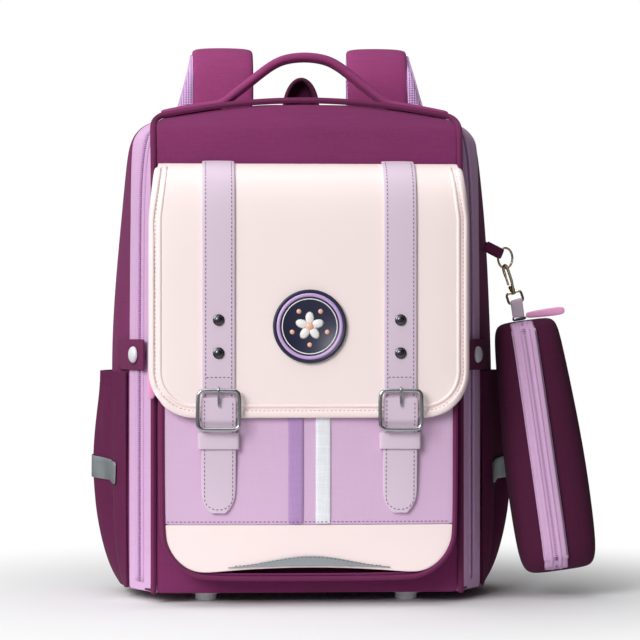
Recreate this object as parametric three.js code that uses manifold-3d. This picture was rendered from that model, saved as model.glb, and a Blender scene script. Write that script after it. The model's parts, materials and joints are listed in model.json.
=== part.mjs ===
// School ransel with a clip-on pencil case, in millimetres, +Z up.
// +X is to the right of someone who looks at the front of the bag, and +Y runs to its back panel.
import * as THREE from 'three';
import { mergeVertices } from 'three/addons/utils/BufferGeometryUtils.js';
import Module from 'manifold-3d';

const wasm = await Module();
wasm.setup();

// Driving dimensions of the bag
const BAG = { height: 394, width: 322, depth: 150, footHeight: 8, wall: 2, frontY: -65 };
const ROLL = { start: 345, back: 37, power: 3 };
const SEAM_GAP = 0.3;
const PANEL = { thick: 2, columns: 8 };
const BASE = { thick: 3 };
const BACK_PAD = { thick: 8, edge: 4, shrink: 0.06, swell: 1.5 };
const PIPING = { radius: 2, sides: 6, clear: 0.5 };

// Driving dimensions of the front pocket and its trims
const POCKET = {
  bottom: 24, top: 330, width: 228, depth: 24, wall: 2, radius: 38, splay: 6, crown: 4, archRise: 5, seam: 64.5,
  edge: 2, bulge: 1.004,
};
const POCKET_PIPING = { radius: 1.8, clear: 0.2 };
const STRIPE = { width: 11.6, offset: 10.8, thick: 0.8, clear: 1, tuck: 40 };
const WAVE_TAPE = { half: 64, rise: 7.5, thick: 0.8, tip: 0.8, clear: 1, lift: 0.45 };

// Driving dimensions of the flap and what fastens it
const FLAP = {
  top: 352, bottom: 149.5, topHalf: 119, half: 124, radius: 36, thick: 2.6, clear: 2.2, edgeWrap: 7, wrapFrom: 5,
};
const FLAP_STRAP = { width: 25.6, offset: 71.5, thick: 1.8, end: 153, lift: 0.5 };
const TONGUE = { width: 27.2, thick: 2.2, top: 165, bottom: 74, clear: 1, settle: 30, tip: 0.45 };
const BUCKLE = { width: 36, height: 34, wire: 1.6, centre: 155.5, corner: 5 };
const PRONG = { length: 11, radius: 1.1 };
const KEEPER = { width: 33, height: 13, wall: 1.6, centre: 131, clear: 0.5 };
const RIVET = { radius: 4.7, height: 2.6, upper: 226, lower: 200 };
const BADGE = { radius: 29, thick: 2.4, centre: 221, rim: 2.5, bevel: 0.6, face: 1.4, lift: 0.8 };

// Driving dimensions of the handle, the hang loop and the shoulder straps
const HANDLE = { rise: 40, width: 24, thick: 6.5, y: -13.5, flatEnd: 117, flatStart: 68, flatSteps: 5 };
const HANG_LOOP = { half: 14, rise: 26, width: 22, thick: 1.6, y: 62, lift: 0.5 };
const STRAP = { width: 52, thick: 10, rise: 60, offset: 66, splay: 9, reach: 46, seat: 0.8, inset: 2, lift: 0.8 };
const STRAP_TAPER = { narrowFrom: 0.75, width: 0.62, thinFrom: 0.85, thick: 0.6 };
const WEB = { width: 25, thick: 1.6, foot: 30, offset: 100 };
const ADJUSTER = { width: 36, height: 20, wire: 4, thick: 4, corner: 2.2, gap: 1.2 };

// Driving dimensions of the side pockets, snaps and feet
const SIDE_POCKET = {
  height: 176, wall: 2, bulge: 12, belly: 0.55, front: -22, rear: 66, pleat: 0.8, pleats: 3, hem: 0.9, clear: 0.4,
};
const TAPE = { width: 18, thick: 0.6, centre: 112, drop: 12, start: 0.06, lift: 1 };
const SNAP = { radius: 7, height: 4, z: 198, y: -40 };
const SNAP_TAB = { front: 15, rear: 34, width: 25, thick: 1.8, lift: 0.9 };
const FOOT = { x: 81, frontY: -42, rearY: 62, flange: 13, flangeThick: 2, radius: 8.6, bevel: 1 };

// Driving dimensions of the ring, hook and pencil case
const RING = { out: 4.5, y: -14, z: 277, half: 6.8, drop: 8.6, wire: 1.1, turn: 20 };
const RING_TAB = { width: 8, thick: 1.4, clear: 1.1, reach: 13.9, angle: 150, pinch: 0.75 };
const HOOK = {
  length: 21, half: 3.6, wire: 1.2, clear: 0.35, mouth: 5, spine: 11, neck: 1.4, reach: [8, -8, -27],
};
const HOOK_POST = { top: 2.3, bottom: 1.9, height: 4.6, sink: 0.4 };
const KNUCKLE = { radius: 1.5, width: 3, inset: 2.5, drop: 3.2, arm: 1 };
const GATE = { wire: 0.9, gap: 0.45, foot: 12.5 };
const EYE = { half: 6.2, height: 9, wire: 1.1, corner: 2, gap: 0.4 };
const CASE_TAB = { width: 9.5, thick: 1.4, length: 15, clear: 0.45, pinch: 0.6 };
const CASE = {
  length: 206, width: 67, depth: 52, wall: 2, tilt: 7.7, lean: 3, offset: 4.5, drop: 0.5, slit: 0.86, power: 0.62,
};
const CASE_BAND = { half: 10, thick: 1.4, offset: -5, lap: 2, lift: 0.6 };
const SLIDER = { width: 8, length: 11, thick: 3.2, top: 207, lift: 1.6, clear: 1.2, depth: 0.42 };
const PULL = { length: 32, width: 7, thick: 3, lift: 3.4, gap: 0.4 };

// Sections of the bag's body from front to back, as shares of the named sizes
const SECTIONS = [
  { y: 0.0, lean: 1.0, bottom: 0.773, mid: 0.773, top: 0.773, topZ: 0.997, crown: 12, radius: 12 },
  { y: 0.267, lean: 0.6, bottom: 0.891, mid: 0.891, top: 0.882, topZ: 1.004, crown: 13, radius: 26 },
  { y: 0.567, lean: 0.0, bottom: 0.932, mid: 1.0, top: 0.913, topZ: 1.008, crown: 14, radius: 32 },
  { y: 0.9, lean: 0.0, bottom: 0.925, mid: 0.98, top: 0.907, topZ: 1.004, crown: 14, radius: 32 },
  { y: 1.0, lean: 0.0, bottom: 0.88, mid: 0.925, top: 0.86, topZ: 0.985, crown: 13, radius: 30 },
];

// Rows of the flap from its seam down, as shares of how far it stands out and how far it drops
const FLAP_PROFILE = [
  { out: 0.0, drop: 0.0 }, { out: 0.28, drop: 0.006 }, { out: 0.55, drop: 0.024 }, { out: 0.8, drop: 0.062 },
  { out: 0.94, drop: 0.115 }, { out: 1.0, drop: 0.2 }, { out: 1.01, drop: 0.36 }, { out: 1.0, drop: 0.52 },
  { out: 0.995, drop: 0.68 }, { out: 0.99, drop: 0.8 }, { out: 0.985, drop: 0.87 }, { out: 0.98, drop: 0.925 },
  { out: 0.975, drop: 0.965 }, { out: 0.97, drop: 0.99 }, { out: 0.97, drop: 1.0 },
];

// Columns of the flap across its width, and how much each wraps round the edge
const FLAP_COLUMNS = [
  { x: -1, wrap: 1 }, { x: -0.985, wrap: 0.3 }, { x: -0.96, wrap: 0 }, { x: -0.6, wrap: 0 }, { x: -0.2, wrap: 0 },
  { x: 0.2, wrap: 0 }, { x: 0.6, wrap: 0 }, { x: 0.96, wrap: 0 }, { x: 0.985, wrap: 0.3 }, { x: 1, wrap: 1 },
];

// Left half of the handle from its flat end to its apex, as shares of its half span and its rise
const HANDLE_ROUTE = [
  { out: 0.99, rise: 0.0 }, { out: 0.86, rise: 0.2 }, { out: 0.73, rise: 0.37 }, { out: 0.6, rise: 0.55 },
  { out: 0.47, rise: 0.73 }, { out: 0.34, rise: 0.88 }, { out: 0.2, rise: 0.965 }, { out: 0.0, rise: 1.0 },
];

// Route of a shoulder strap, as shares of its reach to the back and of its rise over the bag
const STRAP_ROUTE = [
  { y: -0.62, z: 0.0 }, { y: -0.6, z: 0.3 }, { y: -0.52, z: 0.62 }, { y: -0.33, z: 0.88 }, { y: -0.05, z: 1.0 },
  { y: 0.27, z: 0.97 }, { y: 0.55, z: 0.8 }, { y: 0.74, z: 0.52 }, { y: 0.84, z: 0.12 }, { y: 0.87, z: -0.4 },
  { y: 0.87, z: -1.1 }, { y: 0.86, z: -1.9 }, { y: 0.8, z: -2.7 }, { y: 0.7, z: -3.4 }, { y: 0.58, z: -4.0 },
];

// Rows of a side pocket from its seam up, as shares of its height and its bulge
const POCKET_ROWS = [
  { z: 0.0, out: 0.0 }, { z: 0.06, out: 0.42 }, { z: 0.16, out: 0.72 }, { z: 0.32, out: 0.95 }, { z: 0.5, out: 1.0 },
  { z: 0.68, out: 0.86 }, { z: 0.82, out: 0.62 }, { z: 0.92, out: 0.42 }, { z: 1.0, out: 0.38 },
];

// Rows of the pencil case from its top down, as shares of its length, width and depth
const CASE_ROWS = [
  { z: 0.0, width: 0.56, depth: 0.45 }, { z: 0.012, width: 0.7, depth: 0.66 }, { z: 0.04, width: 0.78, depth: 0.84 },
  { z: 0.12, width: 0.83, depth: 0.95 }, { z: 0.35, width: 0.93, depth: 1.0 }, { z: 0.6, width: 1.0, depth: 1.0 },
  { z: 0.85, width: 0.98, depth: 1.0 }, { z: 0.95, width: 0.93, depth: 0.9 }, { z: 0.988, width: 0.82, depth: 0.68 },
  { z: 1.0, width: 0.66, depth: 0.45 },
];

// Colours and finishes
const PAINT = {
  maroon: [0x83, 0x3c, 0x68, 0.85, 0], dark: [0x60, 0x28, 0x4a, 0.85, 0], lilac: [0xdc, 0xba, 0xdc, 0.8, 0],
  pocket: [0xdb, 0xbe, 0xdc, 0.8, 0], cream: [0xfa, 0xe6, 0xe6, 0.55, 0], strap: [0xd6, 0xc2, 0xd6, 0.55, 0],
  purple: [0xb9, 0x95, 0xc4, 0.7, 0], white: [0xef, 0xf2, 0xf6, 0.7, 0], tape: [0x9a, 0x9e, 0xa6, 0.4, 0.2],
  chrome: [0xc8, 0xca, 0xce, 0.15, 1], gun: [0x55, 0x55, 0x5c, 0.3, 1], plastic: [0xe8, 0xe8, 0xec, 0.4, 0],
  foot: [0xad, 0xae, 0xaf, 0.5, 0], pink: [0xea, 0xa9, 0xd8, 0.45, 0], navy: [0x2d, 0x2d, 0x46, 0.5, 0],
  gold: [0xd8, 0xc8, 0xa6, 0.25, 1],
};

const root = new THREE.Group();
const V = (x, y, z) => new THREE.Vector3(x, y, z);
const lerp = THREE.MathUtils.lerp;
const rad = THREE.MathUtils.degToRad;

// Put a named mesh with its paint into a group
function add(name, geometry, paint, group = root) {
  const [r, g, b, roughness, metalness] = PAINT[paint];
  const color = new THREE.Color().setRGB(r / 255, g / 255, b / 255, THREE.SRGBColorSpace);
  const mesh = new THREE.Mesh(geometry, new THREE.MeshStandardMaterial({ color, roughness, metalness }));
  mesh.name = name;
  group.add(mesh);
  return mesh;
}

// Volume inside a list of triangles, negative if its faces point inwards
function signedVolume(points, faces) {
  const cross = new THREE.Vector3();
  let total = 0;
  for (const [a, b, c] of faces) total += cross.crossVectors(points[b], points[c]).dot(points[a]);
  return total / 6;
}

// Closed geometry from points and faces, turned so that its faces point out
function bodyFrom(points, faces) {
  const turned = signedVolume(points, faces) < 0;
  const geometry = new THREE.BufferGeometry();
  geometry.setAttribute('position', new THREE.Float32BufferAttribute(points.flatMap((p) => [p.x, p.y, p.z]), 3));
  geometry.setIndex(faces.flatMap(([a, b, c]) => (turned ? [a, c, b] : [a, b, c])));
  geometry.computeVertexNormals();
  return geometry;
}

// Surface normal at each point of a grid of rows
function gridNormals(grid, closeU) {
  return grid.map((row, i) => row.map((point, j) => {
    const last = row.length - 1;
    const before = closeU ? row[(j + last) % row.length] : row[Math.max(j - 1, 0)];
    const after = closeU ? row[(j + 1) % row.length] : row[Math.min(j + 1, last)];
    const under = grid[Math.max(i - 1, 0)][j];
    const over = grid[Math.min(i + 1, grid.length - 1)][j];
    return new THREE.Vector3().crossVectors(after.clone().sub(before), over.clone().sub(under)).normalize();
  }));
}

// Cloth wall: a grid of points on its face, thickened by a signed amount along the face's normal;
// a band keeps its edges square to the depth when its normals are levelled first
function sheet(grid, thickness, { closeU = false, level = false } = {}) {
  const normals = gridNormals(grid, closeU);
  if (level) normals.flat().forEach((n) => n.setY(0).normalize());
  const inner = grid.map((row, i) => row.map((p, j) => p.clone().addScaledVector(normals[i][j], thickness)));
  const rows = grid.length;
  const columns = grid[0].length;
  const points = [...grid.flat(), ...inner.flat()];
  const at = (i, j, side) => side * rows * columns + i * columns + (j % columns);
  const faces = [];
  const quad = (a, b, c, d) => faces.push([a, b, c], [a, c, d]);
  const spans = closeU ? columns : columns - 1;
  for (let i = 0; i < rows - 1; i += 1) {
    for (let j = 0; j < spans; j += 1) {
      quad(at(i, j, 0), at(i, j + 1, 0), at(i + 1, j + 1, 0), at(i + 1, j, 0));
      quad(at(i, j, 1), at(i + 1, j, 1), at(i + 1, j + 1, 1), at(i, j + 1, 1));
    }
  }
  for (let j = 0; j < spans; j += 1) {
    quad(at(0, j, 0), at(0, j, 1), at(0, j + 1, 1), at(0, j + 1, 0));
    quad(at(rows - 1, j, 0), at(rows - 1, j + 1, 0), at(rows - 1, j + 1, 1), at(rows - 1, j, 1));
  }
  for (let i = 0; i < rows - 1 && !closeU; i += 1) {
    const end = columns - 1;
    quad(at(i, 0, 0), at(i + 1, 0, 0), at(i + 1, 0, 1), at(i, 0, 1));
    quad(at(i, end, 0), at(i, end, 1), at(i + 1, end, 1), at(i + 1, end, 0));
  }
  return bodyFrom(points, faces);
}

// Solid through a row of closed rings, capped at both ends or closed on itself
function loft(rings, closed = false) {
  const size = rings[0].length;
  const points = rings.flat();
  const faces = [];
  const spans = closed ? rings.length : rings.length - 1;
  for (let i = 0; i < spans; i += 1) {
    const next = (i + 1) % rings.length;
    for (let j = 0; j < size; j += 1) {
      const k = (j + 1) % size;
      faces.push([i * size + j, i * size + k, next * size + k], [i * size + j, next * size + k, next * size + j]);
    }
  }
  if (!closed) {
    for (const [ring, flip] of [[0, true], [rings.length - 1, false]]) {
      const centre = rings[ring].reduce((sum, p) => sum.add(p), V(0, 0, 0)).divideScalar(size);
      points.push(centre);
      for (let j = 0; j < size; j += 1) {
        const a = ring * size + j;
        const b = ring * size + ((j + 1) % size);
        faces.push(flip ? [points.length - 1, b, a] : [points.length - 1, a, b]);
      }
    }
  }
  return bodyFrom(points, faces);
}

// Rings of a section along a path; the section's first axis stays along the side vector
function sweepRings(path, side, section, closed = false) {
  const last = path.length - 1;
  return path.map((point, i) => {
    const before = closed ? path[(i + last) % path.length] : path[Math.max(i - 1, 0)];
    const after = closed ? path[(i + 1) % path.length] : path[Math.min(i + 1, last)];
    const tangent = after.clone().sub(before).normalize();
    const across = typeof side === 'function' ? side(i / last) : side;
    const normal = new THREE.Vector3().crossVectors(tangent, across).normalize();
    const outline = typeof section === 'function' ? section(i / last) : section;
    return outline.map(([a, b]) => point.clone().addScaledVector(across, a).addScaledVector(normal, b));
  });
}

function sweep(path, side, section, closed = false) {
  return loft(sweepRings(path, side, section, closed), closed);
}

// Section of a flat strip with its four edges eased
function stripSection(width, thick, ease = 0.3) {
  const a = width / 2;
  const b = thick / 2;
  const c = thick * ease;
  return [[-a, -b + c], [-a + c, -b], [a - c, -b], [a, -b + c], [a, b - c], [a - c, b], [-a + c, b], [-a, b - c]];
}

// Round section with a given number of sides
function roundSection(radius, sides) {
  return Array.from({ length: sides }, (_, i) => {
    const angle = (2 * Math.PI * i) / sides;
    return [radius * Math.cos(angle), radius * Math.sin(angle)];
  });
}

// Points of a rounded rectangle about a centre, as pairs
function roundedRect(halfX, halfZ, radius, steps, centreX = 0, centreZ = 0) {
  const points = [];
  for (let corner = 0; corner < 4; corner += 1) {
    const cx = centreX + (corner === 0 || corner === 3 ? 1 : -1) * (halfX - radius);
    const cz = centreZ + (corner < 2 ? 1 : -1) * (halfZ - radius);
    for (let i = 0; i <= steps; i += 1) {
      const angle = (corner + i / steps) * (Math.PI / 2);
      points.push([cx + radius * Math.cos(angle), cz + radius * Math.sin(angle)]);
    }
  }
  return points;
}

// Turned piece whose axis points to the front, from pairs of radius and height
function turnedFront(profile, segments, place) {
  const geometry = new THREE.LatheGeometry(profile.map(([r, h]) => new THREE.Vector2(r, h)), segments);
  geometry.rotateX(Math.PI);
  geometry.translate(place.x, place.y, place.z);
  return geometry;
}

// Manifold solid of a closed geometry, and back
function solidOf(geometry) {
  const plain = geometry.clone();
  plain.deleteAttribute('normal');
  plain.deleteAttribute('uv');
  const merged = mergeVertices(plain);
  const vertProperties = new Float32Array(merged.attributes.position.array);
  const triVerts = new Uint32Array(merged.index.array);
  return new wasm.Manifold(new wasm.Mesh({ numProp: 3, vertProperties, triVerts }));
}

function geometryOf(solid) {
  const mesh = solid.getMesh();
  const geometry = new THREE.BufferGeometry();
  geometry.setAttribute('position', new THREE.BufferAttribute(new Float32Array(mesh.vertProperties), 3));
  geometry.setIndex(new THREE.BufferAttribute(new Uint32Array(mesh.triVerts), 1));
  geometry.computeVertexNormals();
  return geometry;
}

// Height of a section's crowned top at a place across the bag
function topSurface(row, x) {
  const half = bodyHalf(row.top) - row.radius;
  return bodyTop(row.topZ) - row.crown * Math.min(1, Math.abs(x) / half) ** 2;
}

// How far the bag's face rolls back at a place
function rollBack(row, x, z) {
  const share = THREE.MathUtils.clamp((z - ROLL.start) / (topSurface(row, x) - ROLL.start), 0, 1);
  return ROLL.back * share ** ROLL.power;
}

const BODY_BOTTOM = BAG.footHeight;
const bodyY = (share) => BAG.frontY + share * BAG.depth;
const bodyHalf = (share) => (BAG.width / 2) * share;
const bodyTop = (share) => BODY_BOTTOM + BAG.height * share;

// A section between the table's rows, at a depth
function sectionAt(y) {
  const share = (y - BAG.frontY) / BAG.depth;
  const next = Math.max(1, SECTIONS.findIndex((row) => row.y >= share));
  const before = SECTIONS[next - 1];
  const after = SECTIONS[next];
  const t = THREE.MathUtils.clamp((share - before.y) / (after.y - before.y), 0, 1);
  const mixed = {};
  for (const key of Object.keys(before)) mixed[key] = lerp(before[key], after[key], t);
  return mixed;
}

// Half width of the body at a height on a section
function halfAt(row, z) {
  const sideTop = bodyTop(row.topZ) - row.crown - row.radius;
  const t = (z - BODY_BOTTOM) / (sideTop - BODY_BOTTOM);
  const bend = 4 * t * (1 - t);
  const straight = lerp(row.bottom, row.top, t);
  return bodyHalf(straight + bend * (row.mid - (row.bottom + row.top) / 2));
}

const SIDE_STEPS = 6;
const CORNER_STEPS = 4;
const TOP_STEPS = 3;

// Left half of a section's outline from the base to the top's middle, inset by a wall
function halfOutline(row, inset) {
  const topZ = bodyTop(row.topZ) - inset;
  const radius = row.radius - inset;
  const sideTop = topZ - row.crown - radius;
  const half = bodyHalf(row.top) - inset;
  const points = [];
  for (let i = 0; i < SIDE_STEPS; i += 1) {
    const z = lerp(BODY_BOTTOM, sideTop, i / SIDE_STEPS);
    points.push([-(halfAt(row, z) - inset), z]);
  }
  for (let i = 0; i < CORNER_STEPS; i += 1) {
    const angle = Math.PI - (i / CORNER_STEPS) * (Math.PI / 2);
    points.push([-(half - radius) + radius * Math.cos(angle), sideTop + radius * Math.sin(angle)]);
  }
  for (let i = 0; i < TOP_STEPS; i += 1) {
    const x = -(half - radius) * (1 - i / TOP_STEPS);
    points.push([x, topZ - row.crown * (x / (half - radius)) ** 2]);
  }
  return points;
}

// Whole hoop of a section, from the left foot over the top to the right foot
function hoop(row, inset = 0, forward = 0) {
  const left = halfOutline(row, inset);
  const whole = [...left, [0, bodyTop(row.topZ) - inset], ...left.map(([x, z]) => [-x, z]).reverse()];
  return whole.map(([x, z]) => V(x, bodyY(row.y) + row.lean * rollBack(row, x, z) - forward, z));
}

// Band of cloth between two depths of the body
function bodyBand(rows) {
  const grid = rows.map((row) => hoop(row));
  return sheet(grid, -BAG.wall, { level: true });
}

// Face panel across a hoop, rolling back at its top
function facePanel(row, y, thickness) {
  const left = halfOutline(row, 0);
  const columns = PANEL.columns;
  const grid = left.map(([x, z]) => Array.from({ length: columns + 1 }, (_, j) => {
    const s = (2 * j) / columns - 1;
    return V(-x * s, y + row.lean * rollBack(row, -x * s, z), z);
  }));
  return sheet(grid, thickness);
}

// Body of the bag: sewn panels round a hollow main compartment
const frontRow = SECTIONS[0];
const backRow = SECTIONS[SECTIONS.length - 1];
add('front_panel', facePanel(frontRow, BAG.frontY - SEAM_GAP, PANEL.thick), 'maroon');
add('zip_gusset', bodyBand([frontRow, sectionAt(bodyY(SECTIONS[1].y / 2)), SECTIONS[1]]), 'lilac');
const shellFront = { ...SECTIONS[1], y: SECTIONS[1].y + SEAM_GAP / BAG.depth };
const shellSecond = sectionAt(bodyY((SECTIONS[1].y + SECTIONS[2].y) / 2));
add('side_shell', bodyBand([shellFront, shellSecond, ...SECTIONS.slice(2)]), 'maroon');

// Back panel: a padded slab, thinner at its edge
function backPanel() {
  const left = halfOutline(backRow, 0);
  const columns = PANEL.columns;
  const y = bodyY(1) + SEAM_GAP;
  const rings = [BACK_PAD.edge, BACK_PAD.thick].map((depth, ring) => left.map(([x, z], i) => {
    const shrink = ring * BACK_PAD.shrink;
    const rise = i / (left.length - 1);
    return Array.from({ length: columns + 1 }, (_, j) => {
      const s = ((2 * j) / columns - 1) * (1 - shrink);
      const swell = ring ? BACK_PAD.swell * (1 - s * s) * 4 * rise * (1 - rise) : 0;
      const height = lerp(z, (BODY_BOTTOM + bodyTop(backRow.topZ)) / 2, shrink);
      return V(-x * s, y + depth + swell, height);
    });
  }));
  const outline = (grid) => [
    ...grid.map((row) => row[0]), ...grid[grid.length - 1].slice(1),
    ...grid.slice(0, -1).reverse().map((row) => row[row.length - 1]), ...grid[0].slice(1, -1).reverse(),
  ];
  const edge = outline(rings[0]);
  const flat = edge.map((p) => V(p.x, y, p.z));
  return { flat, edge, face: outline(rings[1]) };
}

function backPanelBody() {
  const { flat, edge, face } = backPanel();
  return loft([flat, edge, face]);
}
add('back_panel', backPanelBody(), 'maroon');

// Base panel between the side walls
function basePanel() {
  const inner = BAG.wall + SEAM_GAP;
  const grid = [];
  const last = SECTIONS.length - 1;
  SECTIONS.forEach((row, i) => {
    const half = bodyHalf(row.bottom) - inner;
    const y = bodyY(row.y) + (i === 0 ? SEAM_GAP : 0) - (i === last ? SEAM_GAP : 0);
    grid.push([V(-half, y, BODY_BOTTOM), V(0, y, BODY_BOTTOM), V(half, y, BODY_BOTTOM)]);
  });
  return sheet(grid, BASE.thick);
}
const base = basePanel();
base.computeBoundingBox();
base.translate(0, 0, BODY_BOTTOM - base.boundingBox.min.z);
add('base_panel', base, 'dark');

// Piping along the seam between the front panel and the zip gusset
function frontPiping() {
  const out = PIPING.radius + PIPING.clear;
  const forward = PIPING.radius + SEAM_GAP;
  const path = hoop(frontRow, -out, forward).map((p) => {
    const roll = (p.y - BAG.frontY + forward) / ROLL.back;
    return V(p.x, p.y, p.z + PANEL.thick * roll);
  });
  return sweep(path, V(0, 1, 0), roundSection(PIPING.radius, PIPING.sides));
}
add('front_piping', frontPiping(), 'dark');

// Front pocket: a tray of cloth round its gusset, closed by a lilac panel over a cream foot
const POCKET_BACK_Y = BAG.frontY - SEAM_GAP - PANEL.thick - SEAM_GAP;
const POCKET_FRONT_Y = POCKET_BACK_Y - POCKET.depth;
const POCKET_MID_Z = (POCKET.top + POCKET.bottom) / 2;
const POCKET_HALF_Z = (POCKET.top - POCKET.bottom) / 2;

// Outline of the pocket at a share of its depth, as a closed ring
function pocketRing(share, inset = 0) {
  const grow = POCKET.splay * (1 - share) - inset;
  const y = lerp(POCKET_BACK_Y, POCKET_FRONT_Y, share);
  const pairs = roundedRect(
    POCKET.width / 2 + grow, POCKET_HALF_Z + grow, POCKET.radius + grow, 5, 0, POCKET_MID_Z,
  );
  return pairs.map(([x, z]) => V(x, y, z));
}
add('pocket_gusset', sheet([0, 0.5, 1].map((share) => {
  const ring = pocketRing(share);
  return share === 0.5 ? ring.map((p) => V(p.x * POCKET.bulge, p.y, p.z)) : ring;
}), -POCKET.wall, { closeU: true, level: true }), 'maroon');

// Pocket face at a place: pillowed forward in the middle
function pocketFaceY(x, z) {
  const s = Math.min(1, Math.abs(x) / (POCKET.width / 2));
  const t = Math.min(1, Math.abs(z - POCKET_MID_Z) / POCKET_HALF_Z);
  return POCKET_FRONT_Y - SEAM_GAP - POCKET.crown * (1 - s * s) * (1 - t ** 4);
}

// Half width of the pocket's face at a height
function pocketHalf(z, inset = 0) {
  const fromEnd = POCKET_HALF_Z - inset - Math.abs(z - POCKET_MID_Z);
  const r = POCKET.radius - inset;
  const half = POCKET.width / 2 - inset;
  if (fromEnd >= r) return half;
  return half - r + Math.sqrt(Math.max(0, r * r - (r - fromEnd) ** 2));
}

// Face of the pocket between two heights, its lower edge arched by a rise
function pocketFace(low, high, rows, rise = 0, thick = PANEL.thick) {
  const grid = Array.from({ length: rows + 1 }, (_, i) => Array.from({ length: PANEL.columns + 1 }, (_, j) => {
    const share = i / rows;
    const z = lerp(low, high, share);
    const s = (2 * j) / PANEL.columns - 1;
    const x = s * pocketHalf(z);
    const lift = rise * (1 - s * s) * (1 - share);
    return V(x, pocketFaceY(x, z), z + lift);
  }));
  return sheet(grid, thick);
}
add('pocket_panel', pocketFace(POCKET.seam + SEAM_GAP, POCKET.top - POCKET.edge, 9), 'pocket');
add('pocket_base', pocketFace(POCKET.bottom + POCKET.edge, POCKET.seam, 6, POCKET.archRise), 'cream');

// Piping round the pocket's face
function pocketPiping() {
  const out = POCKET_PIPING.radius + SEAM_GAP;
  const path = pocketRing(1, -out).map((p) => V(p.x, p.y - POCKET_PIPING.clear - POCKET_PIPING.radius, p.z));
  return sweep(path, V(0, 1, 0), roundSection(POCKET_PIPING.radius, PIPING.sides), true);
}
add('pocket_piping', pocketPiping(), 'dark');

// Printed stripes as thin ribbons on the pocket's face
function stripe(centre) {
  const half = STRIPE.width / 2;
  const rows = 6;
  const low = POCKET.seam + STRIPE.clear;
  const high = FLAP.bottom + STRIPE.tuck;
  const grid = Array.from({ length: rows + 1 }, (_, i) => [-half, half].map((dx) => {
    const z = lerp(low, high, i / rows);
    return V(centre + dx, pocketFaceY(centre + dx, z) - PANEL.thick - SEAM_GAP, z);
  }));
  return sheet(grid, STRIPE.thick);
}
add('stripe_purple', stripe(-STRIPE.offset), 'purple');
add('stripe_white', stripe(STRIPE.offset), 'white');

// Reflective wave along the pocket's lower edge
function waveTape() {
  const columns = 12;
  const rows = 2;
  const grid = Array.from({ length: rows + 1 }, (_, i) => Array.from({ length: columns + 1 }, (_, j) => {
    const s = (2 * j) / columns - 1;
    const x = s * WAVE_TAPE.half;
    const across = 1 - (x / (POCKET.width / 2)) ** 2;
    const low = POCKET.bottom + POCKET.edge + POCKET.archRise * across + WAVE_TAPE.clear;
    const bell = Math.cos((s * Math.PI) / 2) ** 2;
    const z = low + (i / rows) * (WAVE_TAPE.tip + WAVE_TAPE.rise * bell);
    return V(x, pocketFaceY(x, z) - PANEL.thick - WAVE_TAPE.lift, z);
  }));
  return sheet(grid, WAVE_TAPE.thick);
}
add('wave_tape', waveTape(), 'tape');

// Flap: one leather sheet that leaves the top seam, rolls over the pocket and hangs in front of it
const FLAP_BACK_Y = POCKET_FRONT_Y - PANEL.thick - POCKET.crown - SEAM_GAP - FLAP.clear;
const FLAP_SEAM_Y = BAG.frontY - SEAM_GAP - PANEL.thick - 2 * SEAM_GAP;

// Middle line of the flap's face: depth at a height, and the height of each profile row
function flapPoint(row) {
  return [lerp(FLAP_SEAM_Y, FLAP_BACK_Y, row.out), lerp(FLAP.top, FLAP.bottom, row.drop)];
}

function flapHalf(z) {
  const fromTop = (FLAP.top - z) / (FLAP.top - FLAP.bottom);
  const half = lerp(FLAP.topHalf, FLAP.half, Math.min(1, fromTop * 4));
  const fromEnd = z - FLAP.bottom;
  if (fromEnd >= FLAP.radius) return half;
  return half - FLAP.radius + Math.sqrt(Math.max(0, FLAP.radius ** 2 - (FLAP.radius - fromEnd) ** 2));
}

function flap() {
  const grid = FLAP_PROFILE.map((row) => {
    const [y, z] = flapPoint(row);
    const half = flapHalf(z);
    const room = THREE.MathUtils.clamp((half - POCKET.width / 2) / FLAP.wrapFrom - 1, 0, 1);
    return FLAP_COLUMNS.map(({ x, wrap }) => V(x * half, y + FLAP.edgeWrap * wrap * room * row.out, z));
  });
  return sheet(grid, -FLAP.thick);
}
add('flap', flap(), 'cream');

// Depth of the flap's face at a height, read off its profile
function flapFaceY(z) {
  const pairs = FLAP_PROFILE.map(flapPoint);
  const next = pairs.findIndex(([, height]) => height <= z);
  if (next <= 0) return pairs[next === 0 ? 0 : pairs.length - 1][0];
  const [y0, z0] = pairs[next - 1];
  const [y1, z1] = pairs[next];
  return lerp(y0, y1, (z - z0) / (z1 - z0));
}

// Straps sewn on the flap, the tongues under their buckles, and what holds them
const flapOuter = (z) => flapFaceY(z) - FLAP.thick;

function flapStrap(side) {
  const rows = FLAP_PROFILE.map(flapPoint).filter(([, z]) => z > FLAP_STRAP.end);
  const lift = FLAP.thick + FLAP_STRAP.lift + FLAP_STRAP.thick / 2;
  const path = rows.map(([y, z], i) => {
    const [y0, z0] = rows[Math.max(i - 1, 0)];
    const [y1, z1] = rows[Math.min(i + 1, rows.length - 1)];
    const length = Math.hypot(y1 - y0, z1 - z0);
    return V(side * FLAP_STRAP.offset, y + (lift * (z1 - z0)) / length, z - (lift * (y1 - y0)) / length);
  });
  path.push(V(side * FLAP_STRAP.offset, flapFaceY(FLAP_STRAP.end) - lift, FLAP_STRAP.end));
  return sweep(path, V(1, 0, 0), stripSection(FLAP_STRAP.width, FLAP_STRAP.thick));
}

const tongueBackUpper = flapOuter(TONGUE.top) - FLAP_STRAP.lift - FLAP_STRAP.thick - SEAM_GAP;
const tongueBackLower = pocketFaceY(FLAP_STRAP.offset, KEEPER.centre) - PANEL.thick - SEAM_GAP;
const keeperDepth = KEEPER.wall + KEEPER.clear;
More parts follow.
